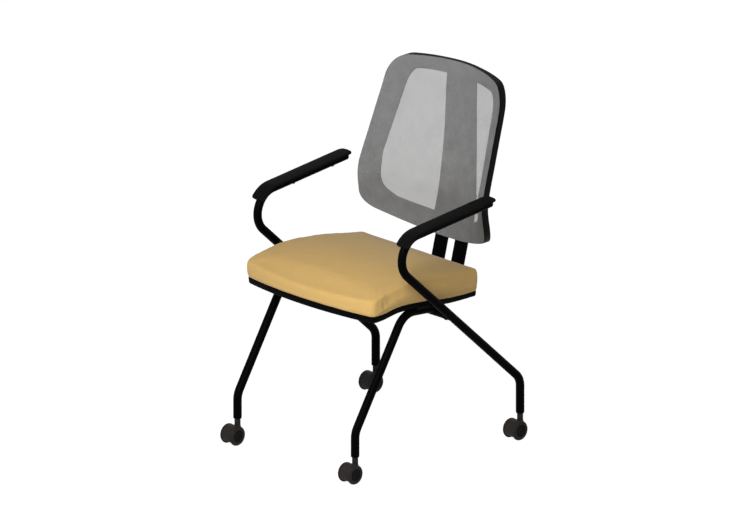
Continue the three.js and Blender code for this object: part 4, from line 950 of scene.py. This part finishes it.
def makeSpine():
    v = spineValues
    c, skin, deep = v["soft"], v["skin"], v["depth"]
    rings = []
    for k in range(v["steps"] + 1):
        z = spineProfile[0][0] + (spineProfile[-1][0] - spineProfile[0][0]) * k / v["steps"]
        half = smoothTable(spineHalves, z)
        outside = half - v["flangeInset"]
        inside = outside - v["wall"]
        right = [(half / 3, 0), (half * 2 / 3, 0), (half - c, 0), (half, c), (half, skin - c),
                 (half - c, skin), (outside + c, skin), (outside, skin + c), (outside, deep - c),
                 (outside - c, deep), (inside + c, deep), (inside, deep - c), (inside, skin + c),
                 (inside - c, skin), (inside * 2 / 3, skin), (inside / 3, skin)]
        section = [(0, 0), *right, (0, skin)] + [(-x, depth) for x, depth in reversed(right)]
        rings.append([spineAt(x, z, depth) for x, depth in section])
    parts = [outwards(skinned("spine", rings))]
    ribRing = roundedRectangle(v["ribThickness"], v["ribDepth"], c, 2)
    for z in v["ribs"]:
        half = smoothTable(spineHalves, z) - v["flangeInset"] - v["wall"] / 2
        middle = (skin + v["ribDepth"]) / 2
        places = [half * (2 * k / v["ribSteps"] - 1) for k in range(v["ribSteps"] + 1)]
        rings = [[spineAt(x, z, middle + b) + Vector((0, 0, a * mm)) for a, b in ribRing] for x in places]
        parts.append(outwards(skinned("rib", rings)))
    return parts


def makeBackFrame():
    v = spineValues
    parts = [makeRim(), *makeSpine()]
    for sign in sideSigns.values():
        for z in backScrewHeights:
            face, way = barFace(sign * barValues["x"], z)
            reach = (face.y - spineAt(0, z, 0).y) / mm - v["bossShort"]
            seat, radius = v["bossSeat"], v["bossRadius"]
            profile = [(seat, 0), (seat, radius), (reach, radius), (reach, 0)]
            parts.append(turned("boss", profile, face, -way))
    frameBack = joined("back_frame_fine", parts)
    finished(frameBack, "frame", materials["backPlastic"], "back_plastic", "back_frame")
    print("back frame made")


def makeBackMesh():
    depth = meshValues["behind"]
    rings = [backRing(share, depth) for share in meshValues["rimShares"]]
    middleZ = (openingEdge["bottomZ"] + openingEdge["topZ"]) / 2
    inner = meshValues["rings"]
    for k in range(1, inner):
        ring = []
        for q in openingLine:
            place = q.lerp(Vector((0, middleZ)), k / inner)
            ring.append(at(place.x, backY(place.x, place.y) + depth, place.y))
        rings.append(ring)
    size = len(rings[0])
    vertices = [p for ring in rings for p in ring]
    faces = ringFaces(len(rings), size)
    vertices.append(at(0, backY(0, middleZ) + depth, middleZ))
    last = (len(rings) - 1) * size
    faces += [(last + i, last + (i + 1) % size, len(vertices) - 1) for i in range(size)]
    sheet = meshObject("back_mesh_fine", vertices, faces)
    if sheet.data.polygons[0].normal.y > 0:
        sheet.data.flip_normals()
    finished(sheet, "frame", materials["backKnit"], "back_mesh", "back_mesh")


seatValues = {"frontY": 40, "cornerY": 66, "frontHalf": 228, "rearY": 456, "rearHalf": 208,
              "frontCorner": 16, "rearCorner": 12, "leastCorner": 4, "flare": 0.6, "sideBow": 2,
              "cornerShare": 0.1}
seatUnderside = [(38, 431), (68, 428), (103, 427.5), (165, 432.5), (263, 423), (351, 408.5), (458, 401)]
cushionValues = {"gap": 0.6, "footInset": 0.8, "footShares": (0.8, 0.5, 0.25, 0.1), "crown": 9,
                 "crownRate": 2.6, "bulge": 3.6, "rollBulge": 0.85, "rollInset": 5, "rollFrom": 0.8,
                 "rollSteps": 6, "topSteps": 16, "start": -1}
wallShares = ((0.06, 0.2), (0.16, 0.5), (0.3, 0.8), (0.45, 1), (0.6, 1), (0.7, 0.95))  # up the wall, and out
seatCrease = [(38, 466), (68, 473), (101, 482), (127, 485.5), (166, 489.5), (207, 491), (240, 490.2),
              (288, 485.8), (328, 481.4), (368, 475.2), (409, 467.6), (458, 459)]
sideSwell = [(38, 0), (80, 0), (100, -1), (127, 1.5), (166, 5), (207, 5.6), (240, 5.6), (288, 4.8),
             (328, 4), (368, 2), (409, 0.4), (440, 0), (458, 0)]


def seatOutline(inset, fine=6):
    v = seatValues
    frontY, rearY, cornerY = v["frontY"] + inset, v["rearY"] - inset, v["cornerY"] + inset
    frontHalf, rearHalf = v["frontHalf"] - inset, v["rearHalf"] - inset
    front = max(v["frontCorner"] - inset / 2, v["leastCorner"])
    rear = max(v["rearCorner"] - inset / 2, v["leastCorner"])
    bow = (cornerY - frontY) / frontHalf**2
    frontX = frontHalf - front
    frontEnd = Vector((frontX, frontY + bow * frontX**2))
    sideStart = Vector((frontHalf - v["flare"], cornerY + front))
    sideEnd = Vector((rearHalf, rearY - rear))
    rearEnd = Vector((rearHalf - rear, rearY))
    sideMiddle = (sideStart + sideEnd) / 2 + Vector((v["sideBow"], 0))
    return mirroredOutline([
        ([Vector((0, frontY)), Vector((frontX / 2, frontY)), frontEnd], 4 * fine),
        ([frontEnd, Vector((frontHalf, cornerY - front * v["cornerShare"])), sideStart], 3 * fine),
        ([sideStart, sideMiddle, sideEnd], 6 * fine),
        ([sideEnd, Vector((rearHalf, rearY)), rearEnd], 2 * fine),
        ([rearEnd, Vector((0, rearY))], 3 * fine),
    ])


seatMiddle = Vector((0, (seatValues["frontY"] + seatValues["rearY"]) / 2))


def undersideZ(y):
    return smoothTable(seatUnderside, y)


def seatRing(inset, share, height, swell=0):
    # a ring at an inset from the outline, or at a share of the way to its middle; swell moves its sides out
    ring = []
    for p in seatOutline(inset):
        side = p + Vector((math.copysign(swell * smoothTable(sideSwell, p.y), p.x) if p.x else 0, 0))
        place = side.lerp(seatMiddle, share)
        ring.append(at(place.x, place.y, height(place)))
    return ring


def cushionShape():
    v, c = seatValues, cushionValues
    less = c["start"]

    def bottom(place):
        return undersideZ(place.y) + c["gap"]

    def wall(share):
        def height(place):
            low = undersideZ(place.y)
            return low + c["gap"] * (1 - share) + (smoothTable(seatCrease, place.y) - less - low) * share
        return height

    def top(share):
        def height(place):
            across = max(1 - (place.x / v["frontHalf"]) ** 2, 0)
            rise = c["crown"] * across * smoothStep(share * c["crownRate"])
            return smoothTable(seatCrease, place.y) - less + rise
        return height

    rings = [seatRing(c["footInset"], share, bottom) for share in c["footShares"]]
    rings.append(seatRing(c["footInset"], 0, bottom))
    for share, out in wallShares:
        rings.append(seatRing((less - c["bulge"]) * out, 0, wall(share), out))
    edge = less - c["bulge"] * c["rollBulge"]
    for k in range(c["rollSteps"]):
        angle = math.pi / 2 * k / c["rollSteps"]
        inset = edge + c["rollInset"] * (1 - math.cos(angle))
        rings.append(seatRing(inset, 0, wall(c["rollFrom"] + (1 - c["rollFrom"]) * math.sin(angle)), 1))
    shares = [k / c["topSteps"] for k in range(c["topSteps"])]
    rings += [seatRing(edge + c["rollInset"], share, top(share), 1) for share in shares]
    return outwards(skinned("seat_cushion_fine", rings))


puffValues = {"voxel": 5, "pressure": 4, "frames": 20, "cap": 1.8, "heldBelow": 3, "heldOver": 12,
              "relax": 1, "footNear": 2.6, "footFar": 6.5, "footSteps": 4}


def puffed(piece):
    # an even mesh, swollen by cloth under pressure, with a cap on how far each point moves
    v = puffValues
    scene = bpy.context.scene
    remesh = piece.modifiers.new("remesh", "REMESH")
    remesh.mode = "VOXEL"
    remesh.voxel_size = v["voxel"] * mm
    remesh.use_smooth_shade = True
    relax = piece.modifiers.new("relax", "SMOOTH")
    relax.iterations = v["relax"]
    applied(piece)
    before = [p.co.copy() for p in piece.data.vertices]
    held = piece.vertex_groups.new(name="held")
    for i, p in enumerate(before):
        above = (p.z - at(0, 0, undersideZ((p.y - axleY) / mm)).z) / mm
        held.add([i], 1 - smoothStep((above - v["heldBelow"]) / v["heldOver"]), "REPLACE")
    cloth = piece.modifiers.new("cloth", "CLOTH")
    cloth.point_cache.frame_start = 1
    cloth.point_cache.frame_end = v["frames"]
    cloth.settings.vertex_group_mass = "held"
    cloth.settings.use_pressure = True
    cloth.settings.uniform_pressure_force = v["pressure"]
    cloth.settings.effector_weights.gravity = 0
    for step in range(1, v["frames"] + 1):
        scene.frame_set(step)
    applied(piece)
    scene.frame_set(1)
    piece.vertex_groups.clear()
    moves = []
    for p, old in zip(piece.data.vertices, before):
        move = p.co - old
        moves.append(move.length / mm)
        if move.length > v["cap"] * mm:
            p.co = old + move * (v["cap"] * mm / move.length)
    mean = sum(moves) / len(moves)
    print("cushion swollen:", len(moves), "points, mean move before the cap", round(mean, 2))
    return piece


def footed(piece):
    # draws the lowest edge back onto a clean line along the pan
    v = puffValues
    line = seatRing(cushionValues["footInset"], 0, lambda place: undersideZ(place.y) + cushionValues["gap"])
    fine = v["footSteps"]
    dense = [a.lerp(b, k / fine) for a, b in zip(line, line[1:] + line[:1]) for k in range(fine)]
    tree = kdtree.KDTree(len(dense))
    for i, point in enumerate(dense):
        tree.insert(point, i)
    tree.balance()
    for p in piece.data.vertices:
        near, _, distance = tree.find(p.co)
        pull = 1 - smoothStep((distance / mm - v["footNear"]) / (v["footFar"] - v["footNear"]))
        p.co = p.co.lerp(near, pull)
    return piece


wornValues = {"pucker": (225, 100, 455), "puckerSize": (9, 4.5, 9), "puckerDepth": 1.3, "ridge": 0.3,
              "ridgeAt": 2.1, "ridgeRate": 2, "sideFrom": 0.5, "sideRate": 3, "topFrom": 0.4, "topRate": 2.5,
              "wrinkle": 0.35, "wrinkleSize": (400, 11, 70), "wave": 0.45, "waveWide": 75, "waveSeed": 3.7}


def workedCloth(piece):
    # what sewing and use leave: a pucker behind each front corner, wrinkles down the sides, waves on top
    v = wornValues
    px, py, pz = v["pucker"]
    sx, sy, sz = v["puckerSize"]
    wx, wy, wz = v["wrinkleSize"]
    normals = [n.vector.copy() for n in piece.data.vertex_normals]
    for p, normal in zip(piece.data.vertices, normals):
        x, y, z = p.co.x / mm, (p.co.y - axleY) / mm, p.co.z / mm
        sideways = smoothStep((abs(normal.x) - v["sideFrom"]) * v["sideRate"])
        upwards = smoothStep((normal.z - v["topFrom"]) * v["topRate"])
        dx, dy, dz = (abs(x) - px) / sx, (y - py) / sy, (z - pz) / sz
        beside = (abs(dy) - v["ridgeAt"]) ** 2 * v["ridgeRate"]
        dent = v["puckerDepth"] * math.exp(-(dx * dx + dy * dy + dz * dz) / 2)
        dent -= v["ridge"] * math.exp(-(dx * dx + beside + dz * dz) / 2)
        upright = noise.noise(Vector((x / wx, y / wy, z / wz))) * v["wrinkle"] * sideways
        waved = Vector((x / v["waveWide"], y / v["waveWide"], v["waveSeed"]))
        slow = noise.noise(waved) * v["wave"] * upwards
        p.co += normal * (upright + slow - dent) * mm
    return piece


def makeCushion():
    cushion = cushionShape()
    smooth = footed(puffed(cushion)).modifiers.new("smooth", "SUBSURF")
    smooth.levels = 1
    smooth.render_levels = 1
    applied(cushion)
    workedCloth(cushion)
    for polygon in cushion.data.polygons:
        polygon.use_smooth = True
    finished(cushion, "seat", materials["seatFabric"], "seat_fabric", "seat_cushion")
    print("cushion made:", len(cushion.data.polygons), "faces")


panValues = {"frontRim": 17.5, "rearRim": 13.5, "skin": 4, "wall": 4, "edge": 0.8, "edgeShare": 0.3,
             "skirtInset": 3.5, "flankInset": 1, "flankShare": 0.8, "shares": (0.1, 0.3, 0.6),
             "ribThickness": 3, "ribDepth": 9, "ribHalf": 192, "ribAcross": (0, 130, -130),
             "ribAlong": (120, 205, 300), "ribFrom": 48, "ribTo": 448, "ribSteps": 12, "channel": 14.3,
             "channelSides": 32, "channelFrom": 3}


def panRib(across, along):
    # a bar under the pan's skin through the places across and along, square in section
    v = panValues
    half = v["ribThickness"] / 2
    dx, dy = (half, 0) if across[0] == across[-1] else (0, half)
    rings = []
    for x, y in zip(across, along):
        top = undersideZ(y) - v["skin"] / 2
        low = undersideZ(y) - v["ribDepth"]
        rings.append([at(x + dx * s, y + dy * s, z) for s, z in ((-1, low), (1, low), (1, top), (-1, top))])
    return outwards(skinned("rib", rings))


def makePan():
    v = panValues

    def topZ(place):
        return undersideZ(place.y)

    def rim(share, more=0):
        def height(place):
            back = (place.y - seatValues["frontY"]) / (seatValues["rearY"] - seatValues["frontY"])
            deep = v["frontRim"] + (v["rearRim"] - v["frontRim"]) * back
            return undersideZ(place.y) - deep * share + more
        return height

    def ceiling(place):
        return undersideZ(place.y) - v["skin"]

    e, wall, flank, skirt = v["edge"], v["wall"], v["flankInset"], v["skirtInset"]
    rings = [seatRing(0, share, topZ) for share in reversed(v["shares"])]
    soft = e * v["edgeShare"]
    rings += [seatRing(e, 0, topZ), seatRing(soft, 0, rim(0, -soft)), seatRing(0, 0, rim(0, -e)),
              seatRing(flank, 0, rim(v["flankShare"])), seatRing(skirt - e, 0, rim(1, e)),
              seatRing(skirt + e, 0, rim(1)), seatRing(skirt + wall, 0, rim(1)),
              seatRing(flank + wall, 0, ceiling)]
    rings += [seatRing(wall, share, ceiling) for share in v["shares"]]
    pan = outwards(skinned("pan", rings))
    route = bentLine(legRoute, 3)[v["channelFrom"]:]
    cutters = []
    for sign in sideSigns.values():
        sections = [roundSection(v["channel"], v["channelSides"])] * len(route)
        cutter = outwards(skinned("cutter", sweptRings(route, sections, sign * tubeValues["legX"])))
        cut = pan.modifiers.new("channel", "BOOLEAN")
        cut.operation = "DIFFERENCE"
        cut.solver = "EXACT"
        cut.object = cutter
        cutters.append(cutter)
    applied(pan)
    for cutter in cutters:
        bpy.data.objects.remove(cutter)
    steps = v["ribSteps"]
    places = [v["ribFrom"] + (v["ribTo"] - v["ribFrom"]) * k / steps for k in range(steps + 1)]
    ribs = [panRib([x] * len(places), places) for x in v["ribAcross"]]
    ribs += [panRib([-v["ribHalf"], v["ribHalf"]], [y, y]) for y in v["ribAlong"]]
    pan = joined("seat_pan_fine", [pan, *ribs])
    finished(pan, "seat", materials["panPlastic"], "pan_plastic", "seat_pan")
    print("pan made")


makeSideFrames()
makeBackBars()
makeScrews()
makeCasters()
makeArmPads()
makeBackFrame()
makeBackMesh()
makeCushion()
makePan()
dressKeptNodes()


cameraValues = {"azimuth": 45.4, "elevation": 19.0, "pixel": 1 / 396, "width": 750, "right": 0.2111,
                "up": 0.5048, "distance": 4.0, "far": 40}


def makeCamera():
    v = cameraValues
    a, e = math.radians(v["azimuth"]), math.radians(v["elevation"])
    right = Vector((math.cos(a), math.sin(a), 0))
    up = Vector((-math.sin(a) * math.sin(e), math.cos(a) * math.sin(e), math.cos(e)))
    back = right.cross(up)
    camera = bpy.data.objects.new("camera", bpy.data.cameras.new("camera"))
    bpy.context.scene.collection.objects.link(camera)
    camera.data.type = "ORTHO"
    camera.data.ortho_scale = v["width"] * v["pixel"]
    centre = at(0, 0, 0) + right * v["right"] + up * v["up"]
    camera.location = centre + back * v["distance"]
    camera.rotation_mode = "QUATERNION"
    camera.rotation_quaternion = Matrix((right, up, back)).transposed().to_quaternion()
    camera.data.clip_end = v["far"]
    bpy.context.scene.camera = camera


def whiteSeen(tree, surface, share, strength):
    # what the camera, gloss and glass see directly is mixed towards a plain emission
    path = tree.nodes.new("ShaderNodeLightPath")
    seen = mathNode(tree, "MAXIMUM", path.outputs["Is Camera Ray"], path.outputs["Is Glossy Ray"])
    seen = mathNode(tree, "MAXIMUM", seen, path.outputs["Is Transmission Ray"])
    emission = tree.nodes.new("ShaderNodeEmission")
    emission.inputs["Strength"].default_value = strength
    mix = tree.nodes.new("ShaderNodeMixShader")
    tree.links.new(times(tree, seen, share), mix.inputs["Fac"])
    tree.links.new(surface, mix.inputs[1])
    tree.links.new(emission.outputs[0], mix.inputs[2])
    return mix.outputs[0]


stageValues = {"half": 20, "drop": 0.0005, "paper": 0.9, "seenShare": 0.8, "seenStrength": 1.2, "sky": 0.22}


def makeStage():
    v = stageValues
    corners = [(x * v["half"], y * v["half"], 0) for x, y in ((-1, -1), (1, -1), (1, 1), (-1, 1))]
    floor = meshObject("floor", corners, [(0, 1, 2, 3)])
    floor.location.z = -v["drop"]
    paper = bpy.data.materials.new("paper")
    paper.use_nodes = True
    tree = paper.node_tree
    principled = tree.nodes["Principled BSDF"]
    principled.inputs["Base Color"].default_value = (v["paper"], v["paper"], v["paper"], 1)
    principled.inputs["Roughness"].default_value = 1.0
    principled.inputs["Specular IOR Level"].default_value = 0.0
    seen = whiteSeen(tree, principled.outputs[0], v["seenShare"], v["seenStrength"])
    tree.links.new(seen, tree.nodes["Material Output"].inputs["Surface"])
    floor.data.materials.append(paper)
    floor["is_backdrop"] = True

    world = bpy.data.worlds.new("studio")
    bpy.context.scene.world = world
    world.use_nodes = True
    tree = world.node_tree
    sky = tree.nodes["Background"]
    sky.inputs["Color"].default_value = (1, 1, 1, 1)
    sky.inputs["Strength"].default_value = v["sky"]
    seen = whiteSeen(tree, sky.outputs[0], 1.0, 1.0)
    tree.links.new(seen, tree.nodes["World Output"].inputs["Surface"])


lampValues = {
    "key": {"place": (1.0, -2.0, 1.95), "aim": (0, 0, 0.5), "size": 1.3, "power": 75},
}


def makeLamps():
    for name, v in lampValues.items():
        lamp = bpy.data.lights.new(name, "AREA")
        lamp.size = v["size"]
        lamp.energy = v["power"]
        holder = bpy.data.objects.new(name, lamp)
        bpy.context.scene.collection.objects.link(holder)
        holder.location = v["place"]
        holder.rotation_mode = "QUATERNION"
        holder.rotation_quaternion = (Vector(v["aim"]) - Vector(v["place"])).to_track_quat("-Z", "Y")


makeStage()
makeLamps()
makeCamera()
bpy.context.scene.view_settings.view_transform = "Standard"
print("stage, lamps and camera made")

sizes = {"cad": [list(c) for c in cadBounds], "visual": [list(c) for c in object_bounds()]}
for name, corners in sizes.items():
    print(name, [[round(x, 4) for x in corner] for corner in corners])
